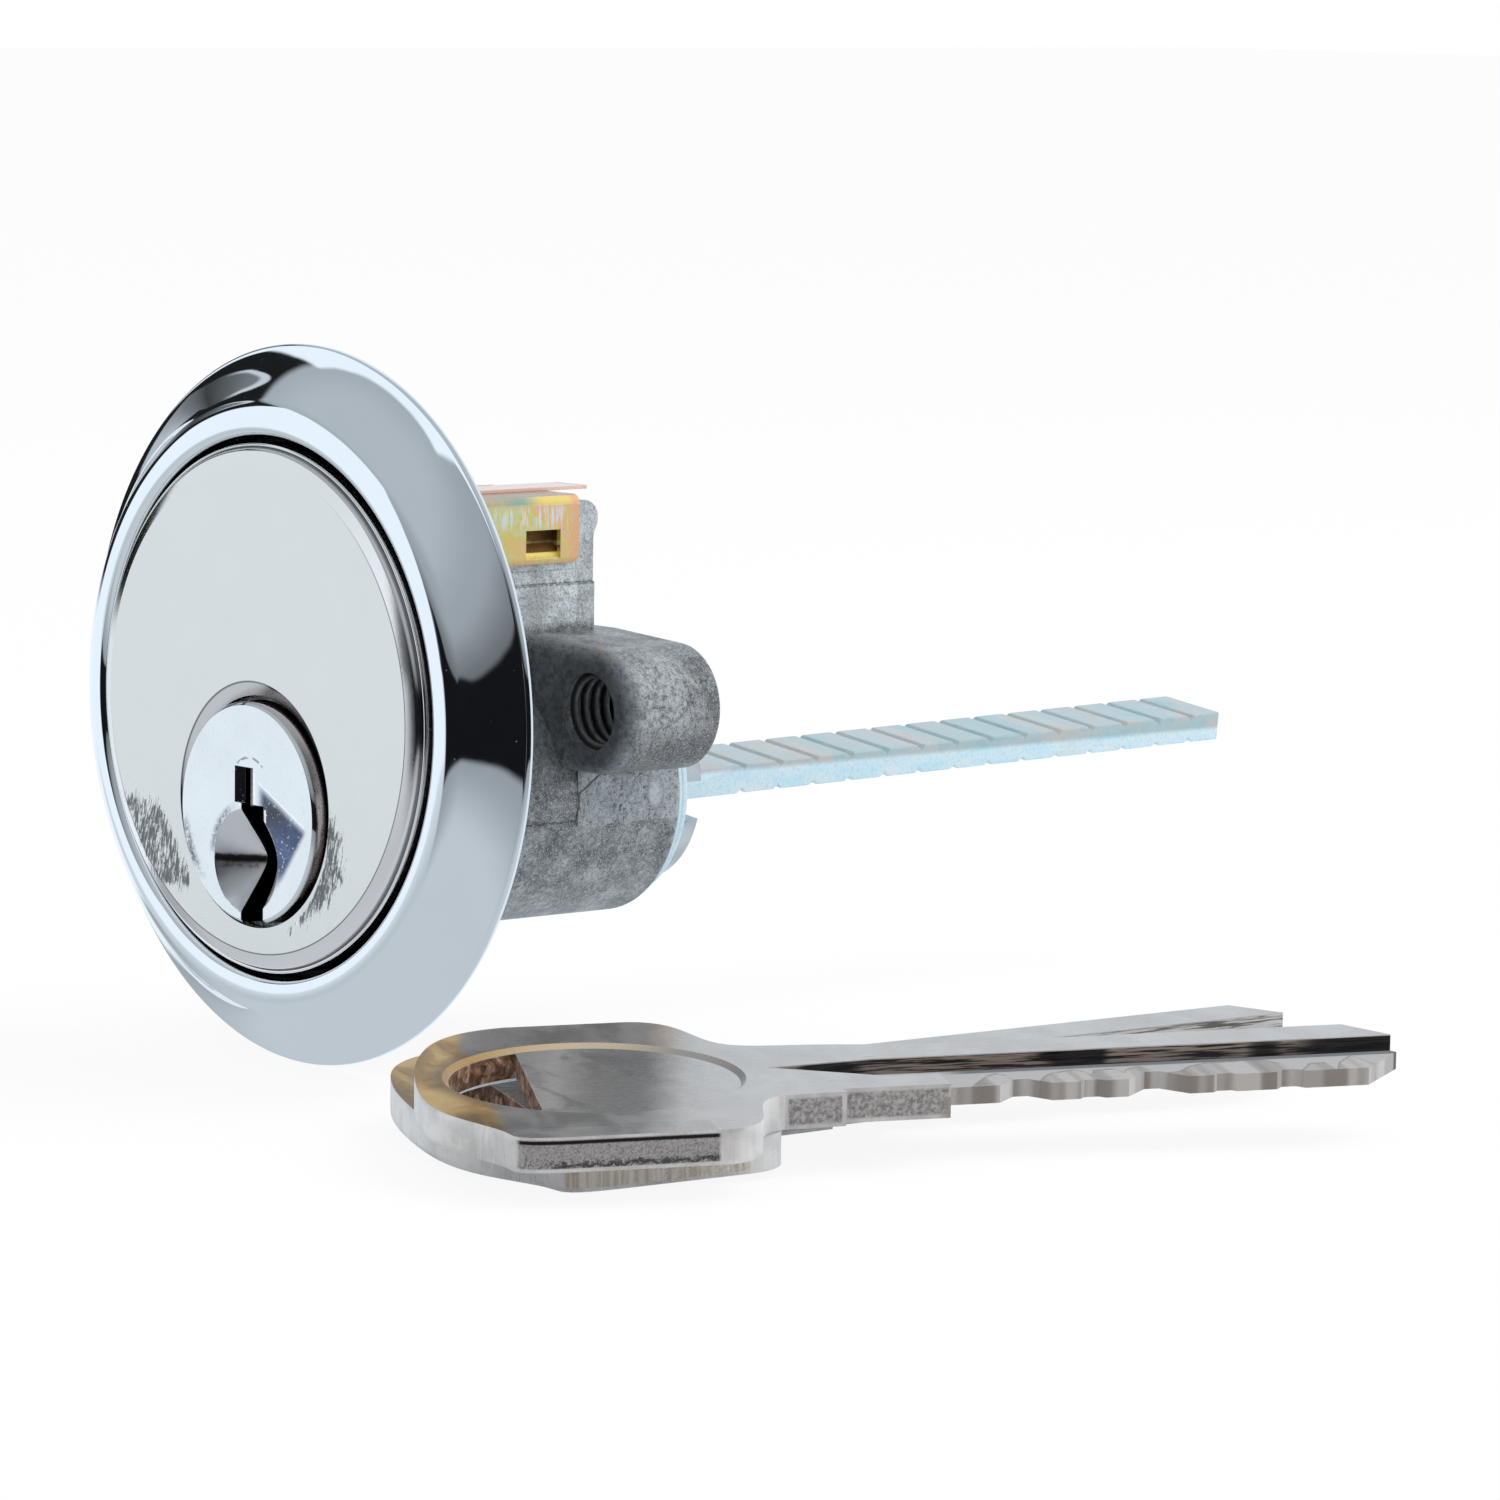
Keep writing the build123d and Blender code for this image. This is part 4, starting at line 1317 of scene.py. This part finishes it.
# Painted shade: the flat top beside the strip is a darker brown-grey.
top = n.step(z, 12.80, 12.86)
colour = n.mix(top, colour, tone(168, 148, 128))
inner = n.step(size, 4.47, 4.44)
colour = n.mix(n.times(inner, n.step(z, 12.6, 12.3)), colour, tone(120, 84, 44))
n.put(colour, shader["Base Color"])
n.put(n.step(cloud, 0.3, 0.7, 0.20, 0.36), shader["Roughness"])
n.put(n.bump(streak, 0.01, n.bump(cloud, 0.04)), shader["Normal"])
print("cover finish:", len(n.tree.nodes), "nodes")

# %% [markdown]
# The closing strip
#
# A thin strip closes the top of the cover. It has the same kind of coat, but pinker, with a
# browner end and a pale cut edge.

# %% The strip
STRIP_STEEL, n, shader = material("strip_steel", 0.3, 0.3)
mm = n.millimetres()
x, y, z = n.axes(mm)
cloud = n.noise(n.stretch(mm, 1.0, 0.5, 1.0), 0.6, 4.0)
colour = n.ramp(
    cloud,
    [(0.35, tone(240, 200, 184)), (0.55, tone(240, 224, 216)), (0.7, tone(226, 214, 226))]
)
colour = n.mix(n.times(n.step(y, 20.6, 21.2), 0.7), colour, tone(170, 120, 100))
colour = n.mix(n.times(n.step(x, 1.44, 1.49), 0.75), colour, tone(248, 206, 190))
n.put(colour, shader["Base Color"])
n.put(n.step(cloud, 0.3, 0.7, 0.22, 0.4), shader["Roughness"])
n.put(n.bump(cloud, 0.02), shader["Normal"])
for name, finish, width in (
    ("chamber_cover", YELLOW_STEEL, 0.1), ("closing_strip", STRIP_STEEL, 0.05)
):
    dress(name, finish)
    soften(name, width)

# %% [markdown]
# Blue zinc plate
#
# The washer, the clip, the pin and the long tail bar are plated in bright zinc with a blue
# sheen. The bar is made to be snapped to length at its grooves, and on its top each field
# between two grooves shows another tone, a painted reflection. The field's number, from a
# division rounded down, picks that tone from a cloud.

# %% Blue sheen
BLUE_ZINC, n, shader = material("blue_zinc", 0.25, 0.32)
PANEL_START, PANEL_PITCH = 32.1, 3.14
mm = n.millimetres()
x, y, z = n.axes(mm)
cloud = n.noise(n.stretch(mm, 1.0, 0.35, 1.0), 0.7, 4.0, 0.6, 0.4)
fine = n.noise(mm, 4.0, 3.0)
colour = n.ramp(
    cloud,
    [
        (0.33, tone(196, 230, 246)), (0.50, tone(210, 236, 246)), (0.64, tone(222, 238, 244)),
        (0.78, tone(198, 222, 230))
    ]
)
print("fields", PANEL_PITCH, "mm long")

# %% One tone for each field of the bar
# Painted reflection: on the bar's top each field gets its own tone.
top = n.step(n.dot(mm, (0.122, 0, 0.9925), (0, 26.0, PLUG_Z)), 0.55, 0.95)
panel = n.noise(
    n.join(
        0.0, n.math("FLOOR", n.math("DIVIDE", n.math("SUBTRACT", y, PANEL_START), PANEL_PITCH)),
        0.0
    ),
    0.73, 1.0
)
plates = n.ramp(
    n.plus(n.times(panel, 0.7), n.times(cloud, 0.3)),
    [
        (0.38, tone(146, 182, 188)), (0.48, tone(174, 192, 196)), (0.56, tone(192, 188, 184)),
        (0.66, tone(158, 192, 200))
    ]
)
far = n.step(y, 26.5, 27.5)
colour = n.mix(n.times(top, far, 0.9), colour, plates)
n.put(
    n.mix(n.step(fine, 0.45, 0.7, 0.0, 0.25), colour, tone(150, 176, 188)), shader["Base Color"]
)
n.put(n.step(cloud, 0.3, 0.7, 0.28, 0.42), shader["Roughness"])
n.put(n.bump(fine, 0.012, n.bump(cloud, 0.03)), shader["Normal"])
for name, width in (
    ("thrust_washer", 0.08), ("retaining_clip", 0.08), ("cross_pin", 0.1), ("tail_bar", 0.12)
):
    dress(name, BLUE_ZINC)
    soften(name, width)

# %% [markdown]
# How the keys lie
#
# Two flat keys lie on the table, one on the other, a few degrees out of level. To paint
# them, a point has to be known in the key's own directions: u along the blade, v from the
# back of the blade to its cuts, w up through its thickness. Two more, s to the right and d
# away, follow the view and not the key, because what a key mirrors depends on where it
# lies.

# %% A key's own directions
KEY_SIDE, KEY_TILT, KEY_LIFT = 49.3, 4.0, 2.15
KEY_CORNER = Vector((47.05, -14.33, -22.55))
FRONT_TURN, REAR_TURN = 14.7, 27.9


def key_frame(stop, turn, layer):
    """Where a key lies: a corner, its directions along, toward and up,
    and the level and back of the view."""
    side = math.radians(KEY_SIDE)
    level = Vector((math.cos(side), math.sin(side), 0))
    up = Matrix.Rotation(math.radians(KEY_TILT), 3, level) @ Vector((0, 0, 1))
    back = up.cross(level)
    angle = math.radians(turn)
    along = math.cos(angle) * level + math.sin(angle) * back
    toward = math.sin(angle) * level - math.cos(angle) * back
    corner = KEY_CORNER + along * stop[0] - toward * stop[1] + up * layer * KEY_LIFT
    return corner, along, toward, up, level, back


front_lies = key_frame((21.8, 14.6), FRONT_TURN, 1)
rear_lies = key_frame((25.4, 18.4), REAR_TURN, 0)
print("the blades cross at", round(REAR_TURN - FRONT_TURN, 1), "degrees")

# %% [markdown]
# The clouds that a key shares
#
# Each key has five clouds: a slow one, a softer one stretched along the key, brush lines,
# fine grain and short streaks for cut sides. They are made once and carried in one bundle,
# so that the top, the edges and the blade agree with each other.

# %% Directions and clouds of one key
HOLE_AT = (-19.95, 4.45)


class KeyPlaces:
    """Measures on a key, and the clouds that its finishes share."""

    def __init__(self, n, lies):
        mm = n.millimetres()
        corner, along, toward, up, level, back = lies
        self.u, self.v, self.w, self.s, self.d = (
            n.dot(mm, way, corner) for way in (along, toward, up, level, back)
        )
        self.place = n.join(self.u, self.v, self.w)
        self.facing = n.dot(n.add("ShaderNodeNewGeometry").outputs["Normal"], up)
        self.flat_up = n.step(self.facing, 0.80, 0.95)
        self.cloud = n.noise(self.place, 0.35, 4.0, 0.6, 0.5)
        self.soft = n.noise(n.stretch(self.place, 0.32, 0.16, 1.0), 1.0, 3.0, 0.6, 0.6)
        self.brush = n.noise(n.stretch(self.place, 0.5, 9.0, 1.0), 1.0, 4.0, 0.7)
        self.grain = n.noise(self.place, 4.0, 4.0, 0.7)
        self.centre = n.reach(self.u, self.v, HOLE_AT)
        self.dish = n.step(self.centre, 8.9, 8.7)
        self.streaks = n.noise(n.stretch(self.place, 3.6, 3.6, 0.2), 1.0, 3.0)
        self.near = n.times(n.inside(self.u, -27.5, -15.9, 0.15), n.step(self.v, 15.8, 16.2))
        print("measures and clouds on a key:", ", ".join(vars(self)))


print("the middle of the recess is", -HOLE_AT[0], "mm from the stop")

# %% [markdown]
# The flat top of a key
#
# Nickel silver is a warm grey. On the bow the key mirrors the lock beside it, so a golden
# tone comes in from the left, along a border that a cloud makes uneven. Left of another
# border the top and the shallow round recess get darker greys as painted reflection, and in
# the recess they go from dark to light and dark again, with a painted highlight on its rim
# and a soft shadow beside it. Towards the blade the top is evenly light, with faint brush
# lines.

# %% Gold on the left, grey in the recess
def key_top(n, k, left):
    """The colour of the faces that look up."""
    shift = n.times(n.math("SUBTRACT", k.cloud, 0.5), 2.4)
    gold = n.step(n.plus(k.s, n.times(k.d, 0.155), shift, 26.5 - left), 0.5, -0.5)
    # Painted reflection: darker greys left of the border, a dark-light-dark ramp in the recess.
    light = n.step(n.plus(k.s, n.times(shift, 0.8)), -15.6, -12.6)
    rim_tone = n.mix(n.step(k.soft, 0.35, 0.65), tone(112, 110, 109), tone(146, 143, 141))
    bowl = n.ramp(
        n.step(n.plus(k.s, n.times(shift, 0.8)), -27.5, -14.5),
        [
            (0.0, tone(116, 113, 111)), (0.30, tone(150, 148, 146)),
            (0.55, tone(176, 174, 172)), (0.8, tone(134, 132, 131)), (1.0, tone(120, 118, 117))
        ]
    )
    bowl = n.mix(n.times(n.step(k.soft, 0.52, 0.66), 0.5), bowl, tone(96, 94, 93))
    flat = n.mix(
        light, n.mix(k.dish, rim_tone, bowl),
        n.mix(n.step(k.soft, 0.3, 0.7), tone(178, 175, 174), tone(191, 189, 188))
    )
    streak = n.times(
        n.inside(k.s, -15.0, -13.4, 0.5), n.step(k.grain, 0.46, 0.56), n.step(k.d, -2.0, 0.0)
    )
    flat = n.mix(n.times(streak, 0.6), flat, tone(186, 140, 98))
    flat = n.mix(
        gold, flat,
        n.ramp(
            k.soft,
            [(0.35, tone(122, 90, 44)), (0.5, tone(174, 136, 76)), (0.64, tone(206, 172, 108))]
        )
    )
    print("nodes for the top:", len(n.tree.nodes))
    return flat, gold

# %% The rim, the shadow and the brush lines
def key_top_marks(n, k, flat, gold):
    """Adds the painted highlight on the rim, the shadow of the recess, brush lines and specks.
    """
    shadow = n.times(n.step(k.centre, 10.2, 8.9), n.step(k.centre, 8.75, 8.85))
    flat = n.mix(n.times(shadow, gold, 0.65), flat, tone(92, 66, 38))
    # Painted highlight on the rim of the recess.
    rim = n.times(n.inside(k.centre, 8.55, 8.85, 0.05), n.step(k.w, 1.6, 1.8))
    flat = n.mix(
        n.times(rim, 0.8), flat,
        n.mix(n.step(k.s, -20, -14), tone(214, 192, 158), tone(206, 202, 198))
    )
    flat = n.mix(
        n.times(n.step(k.brush, 0.48, 0.70), n.step(k.u, -12.0, 0.0, 0.05, 0.20)), flat,
        tone(120, 118, 116)
    )
    flat = n.mix(
        n.times(n.step(n.noise(k.place, 9.0, 2.0), 0.66, 0.72), 0.3), flat, tone(240, 240, 240)
    )
    print("nodes with its marks:", len(n.tree.nodes))
    return flat

# %% [markdown]
# A key's sides
#
# The blank is punched from sheet, which leaves smooth light sides with fine upright lines.
# The long side of the bow differs: on the front key it is a dull pitted patch with a black
# line above it, and on the rear key a plain striped one. The two faces of the stop are dull
# as well, and the small step round the recess takes painted reflections: gold on the left,
# pale in the middle and grey on the right.

# %% The long side of the bow
def bow_side(n, k, worn):
    """The colour of the bow's long side: pitted on the worn key, striped on the other."""
    if not worn:
        return n.mix(n.step(k.streaks, 0.40, 0.62), tone(224, 214, 202), tone(196, 182, 168))
    dust = n.noise(k.place, 7.0, 3.0, 0.8)
    patch = n.mix(n.step(dust, 0.40, 0.66), tone(176, 172, 170), tone(128, 125, 124))
    ragged = n.plus(k.w, n.times(n.math("SUBTRACT", n.noise(k.place, 2.2, 5.0, 0.7), 0.5), 1.3))
    patch = n.mix(n.inside(k.w, 1.62, 1.84, 0.05), patch, tone(16, 12, 16))
    patch = n.mix(
        n.times(n.inside(ragged, 0.28, 0.52, 0.10), n.step(k.u, -26.5, -25.0), 0.85), patch,
        tone(40, 38, 42)
    )
    patch = n.mix(
        n.times(n.step(k.w, 0.9, 0.5), n.step(dust, 0.52, 0.60), 0.6), patch, tone(60, 58, 60)
    )
    print("nodes with the pitted side:", len(n.tree.nodes))
    return patch

# %% All sides together
def key_sides(n, k, worn):
    """The colour of the faces that don't look up."""
    lines = n.noise(n.stretch(k.place, 3.0, 3.0, 0.3), 1.2, 3.0)
    edge = n.mix(n.step(k.cloud, 0.35, 0.65), tone(198, 195, 193), tone(220, 217, 215))
    edge = n.mix(n.times(n.step(lines, 0.50, 0.72), 0.14), edge, tone(150, 146, 144))
    inset = n.inside(k.w, 0.22, 1.88, 0.05)
    edge = n.mix(n.times(k.near, inset), edge, bow_side(n, k, worn))
    stop_face = n.times(
        n.step(k.v, 9.9, 10.1), n.inside(k.u, -10.0, -0.15, 0.1), n.inside(k.w, 0.25, 1.8, 0.1),
        n.math("GREATER_THAN", n.math("ABSOLUTE", n.plus(k.u, 6.5)), 0.25)
    )
    edge = n.mix(
        n.times(stop_face, 0.85), edge,
        n.mix(n.step(k.grain, 0.36, 0.64), tone(190, 186, 184), tone(112, 108, 107))
    )
    # Painted reflection on the step round the recess: gold, pale, then grey.
    brim = n.times(n.inside(k.centre, 8.5, 9.0, 0.03), n.step(k.w, 1.66, 1.70))
    edge = n.mix(
        brim, edge,
        n.mix(
            n.step(k.s, -26.0, -20.0), tone(176, 140, 84),
            n.mix(n.step(k.s, -18, -13), tone(214, 196, 168), tone(170, 166, 162))
        )
    )
    print("nodes with all sides:", len(n.tree.nodes))
    return edge

# %% [markdown]
# The cuts of the blade
#
# The blade is milled thinner along the cuts, and each cut ends in a scooped facet. Where
# the flat ends and a scoop begins is known at 32 points along the blade. A ramp can hold
# such a line: its places run along the blade, and its greys stand for the height. Taking
# that height from a point's own height tells on which side of the line the point lies.
# The scoops and the facets of the milled side get painted light and shade in their own
# tones, with a dark line where the cuts begin and painted shade, near black, on the floor
# of the ledge below them.

# %% The line where the cuts begin
BLADE_LENGTH, CUT_LOW, CUT_SPAN = 28.0, 3.0, 6.0
CUT_LINE = (
    (0.0, 8.4), (1.9, 7.6), (2.8, 6.1), (3.85, 4.6), (4.5, 4.2), (4.95, 4.9),
    (5.05, 6.9), (6.3, 6.9), (7.0, 5.6), (7.7, 4.75), (9.2, 4.15), (9.8, 4.8),
    (9.9, 5.85), (10.4, 4.55), (11.66, 4.37), (12.04, 5.4), (12.4, 4.66), (13.4, 4.08),
    (13.8, 5.2), (13.9, 6.2), (15.4, 5.8), (16.2, 4.76), (17.5, 4.0), (21.2, 3.92),
    (21.9, 5.0), (22.3, 7.5), (23.6, 5.4), (24.6, 5.3), (24.72, 7.3), (25.4, 5.6),
    (26.7, 3.84), (27.4, 6.3),
)
print("points on the line where the cuts begin:", len(CUT_LINE))

# %% Flats, scoops and the milled side
def key_blade(n, k, colour, worn):
    """Paints the light and shade of the ledge and its scooped cuts over the key's colour."""
    blade = n.times(n.step(k.u, -1.0, 0.2), n.step(k.w, 1.30, 1.20), n.step(k.v, 3.1, 3.2))
    stops = []
    for place_u, place_v in CUT_LINE:
        stops.append((place_u / BLADE_LENGTH, grey((place_v - CUT_LOW) / CUT_SPAN)))
    cut_at = n.times(n.ramp(n.math("DIVIDE", k.u, BLADE_LENGTH), stops), CUT_SPAN)
    past = n.math("SUBTRACT", n.math("SUBTRACT", k.v, CUT_LOW), cut_at)
    # Painted light and shade: each scoop gets its own tone, lighter and darker by turns.
    facet = n.noise(n.join(n.times(k.u, 0.55), 0.0, 0.0), 1.0, 1.0)
    scoop = n.mix(n.step(facet, 0.45, 0.55), tone(178, 172, 168), tone(142, 132, 124))
    scoop = n.mix(n.times(n.step(facet, 0.60, 0.66), 0.8), scoop, tone(120, 104, 92))
    scoop = n.mix(n.times(n.step(k.streaks, 0.5, 0.66), 0.35), scoop, tone(140, 132, 128))
    near_part = n.mix(n.step(past, -0.05, 0.05), tone(172, 167, 163), scoop)
    # Painted shade: the floor of the ledge below the cuts is near black.
    near_part = n.mix(
        n.times(n.step(k.v, 4.05, 3.85), n.step(k.u, 1.0, 3.0), 0.95), near_part,
        tone(24, 20, 20)
    )
    # Painted shade: a dark line where the cuts begin.
    near_part = n.mix(
        n.times(n.inside(past, -0.02, 0.22, 0.08), n.step(k.grain, 0.35, 0.5)), near_part,
        tone(112, 102, 96)
    )
    # The front key (worn) gets this painted light and shade in full, the rear key faintly.
    colour = n.mix(n.times(blade, 1.0 if worn else 0.4), colour, near_part)
    # Painted light and shade on the facets of the milled side.
    side_cut = n.times(
        n.step(k.u, 0.3, 0.6), n.step(k.facing, 0.5, 0.3), n.step(k.v, 4.6, 5.2),
        n.step(k.w, 1.2, 1.0)
    )
    colour = n.mix(
        n.times(side_cut, 0.8 if worn else 0.3), colour,
        n.mix(n.step(facet, 0.42, 0.58), tone(204, 199, 195), tone(152, 143, 137))
    )
    print("nodes with the blade:", len(n.tree.nodes))
    return colour

# %% [markdown]
# The groove's wall
#
# A long step runs down the blade. Its upright wall faces the viewer and mirrors the dark
# gap of the room, so it is nearly black on the front key, with paler stretches, and
# streaked light and dark on the rear one. It starts on a slant where the cutter came down.

# %% A dark wall with streaks
def key_groove(n, k, colour, worn):
    """Lays the wall of the long step over the key's colour."""
    cut = n.noise(n.stretch(k.place, 0.3, 1.0, 7.0), 1.0, 3.0)
    run_in = n.math(
        "SUBTRACT", k.v, n.times(n.math("MAXIMUM", n.math("SUBTRACT", -3.0, k.u), 0.0), 0.14)
    )
    wall = n.times(
        n.inside(k.w, 1.08, 1.98, 0.03), n.step(run_in, 3.5, 3.3), n.step(k.u, -9.2, -8.6),
        n.step(run_in, 2.4, 2.9)
    )
    # Painted reflection: near black with paler stretches on the front key (worn), streaked on
    # the rear.
    if worn:
        shade = n.mix(n.step(cut, 0.42, 0.58), tone(44, 38, 38), tone(160, 146, 136))
        black = n.math(
            "MAXIMUM",
            n.step(n.noise(n.stretch(k.place, 0.16, 0.1, 0.1), 1.0, 1.0), 0.50, 0.58),
            n.step(k.u, 22.5, 25.0)
        )
        shade = n.mix(n.times(black, 0.92), shade, tone(18, 14, 16))
    else:
        shade = n.mix(n.step(cut, 0.45, 0.60), tone(232, 230, 226), tone(120, 112, 104))
    print("nodes with the groove:", len(n.tree.nodes))
    return n.mix(wall, colour, shade)

# %% [markdown]
# The hole for the key ring
#
# Only a slice of the recess is open, as a hole for a key ring. Its wall is stained brown.
# The rear key is seen through the front key's hole, and it is a little brown there too: its
# own material is made browner in a soft disc where that hole lies above it.

# %% Brown in the hole
def key_hole(n, k, colour, under):
    """Lays the stained wall of the ring hole over the key's colour."""
    hole = n.times(
        n.step(k.centre, 8.64, 8.60), n.step(k.facing, 0.6, 0.3), n.step(k.w, 1.76, 1.70)
    )
    # The rear key is made browner in a soft disc under the front key's hole.
    if under:
        colour = n.mix(
            n.times(n.step(n.reach(k.s, k.d, under), 9.0, 8.2), k.flat_up, 0.6), colour,
            tone(132, 106, 88)
        )
    rust = n.ramp(
        n.noise(k.place, 1.0, 6.0, 0.7, 1.2),
        [
            (0.36, tone(60, 42, 34)), (0.48, tone(124, 94, 76)), (0.58, tone(168, 134, 110)),
            (0.70, tone(236, 214, 196))
        ]
    )
    colour = n.mix(hole, colour, rust)
    print("nodes with the hole:", len(n.tree.nodes))
    return hole, colour

# %% [markdown]
# Nickel silver for both keys
#
# Now the parts are put together in one material for each key. A key is part metal and part
# soft brushed skin: fully metallic, it would turn black wherever the room is black. The
# keys are left out of mirrors, because the ring would otherwise show them where the
# photograph's ring is clear.

# %% The finish of a key
def key_metal(name, lies, left, worn, under):
    """Brushed nickel silver, darker and golden where it mirrors the lock beside it."""
    made, n, shader = material(name, 0.35, 0.3)
    k = KeyPlaces(n, lies)
    flat, gold = key_top(n, k, left)
    flat = key_top_marks(n, k, flat, gold)
    colour = n.mix(k.flat_up, key_sides(n, k, worn), flat)
    colour = key_blade(n, k, colour, worn)
    colour = key_groove(n, k, colour, worn)
    hole, colour = key_hole(n, k, colour, under)
    n.put(colour, shader["Base Color"])
    n.put(n.step(hole, 0.0, 1.0, 0.5, 0.05), shader["Specular IOR Level"])
    n.put(
        n.plus(
            n.step(k.brush, 0.3, 0.7, 0.27, 0.33), n.times(k.dish, -0.04), n.times(hole, 0.5)
        ),
        shader["Roughness"]
    )
    height = n.bump(k.brush, 0.004, n.bump(k.grain, 0.008))
    n.put(n.bump(n.times(k.near, k.grain), 0.08, height), shader["Normal"])
    print("nodes in", name, len(n.tree.nodes))
    return made

# %% Both keys
hole_at = front_lies[0] + HOLE_AT[0] * front_lies[1] + HOLE_AT[1] * front_lies[2] - rear_lies[0]
hole_seen = (hole_at.dot(rear_lies[4]), hole_at.dot(rear_lies[5]))
dress("front_key", key_metal("front_key_metal", front_lies, 0.0, True, None))
dress("rear_key", key_metal("rear_key_metal", rear_lies, 3.0, False, hole_seen))
for name in ("front_key", "rear_key"):
    soften(name, 0.12)
    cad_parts[name].visible_glossy = False

# %% [markdown]
# Pins and springs inside
#
# Five pairs of brass pins and five springs stand in the chambers. They are hidden at rest
# and seen only when the lock is opened up, so a plain turned finish with a slow cloud and a
# fine grain is enough, in two colours.

# %% Turned brass and spring wire
def plain_metal(name, colour, roughness):
    made, n, shader = material(name, 1.0, roughness)
    mm = n.millimetres()
    cloud = n.noise(mm, 0.6, 4.0)
    n.put(
        n.mix(cloud, tuple(v * 0.85 for v in colour[:3]) + (1,), colour), shader["Base Color"]
    )
    n.put(n.step(cloud, 0.3, 0.7, roughness * 0.8, roughness * 1.25), shader["Roughness"])
    n.put(n.bump(n.noise(mm, 5.0, 3.0), 0.01), shader["Normal"])
    return made


BRASS = plain_metal("turned_brass", (0.75, 0.55, 0.25, 1), 0.25)
SPRING = plain_metal("spring_wire", (0.6, 0.6, 0.6, 1), 0.3)
for i in range(1, 6):
    dress(f"key_pin_{i}", BRASS)
    dress(f"driver_pin_{i}", BRASS)
    dress(f"pin_spring_{i}", SPRING)

# %% [markdown]
# The overall size, and the end
#
# A finish must never change the size of the lock.
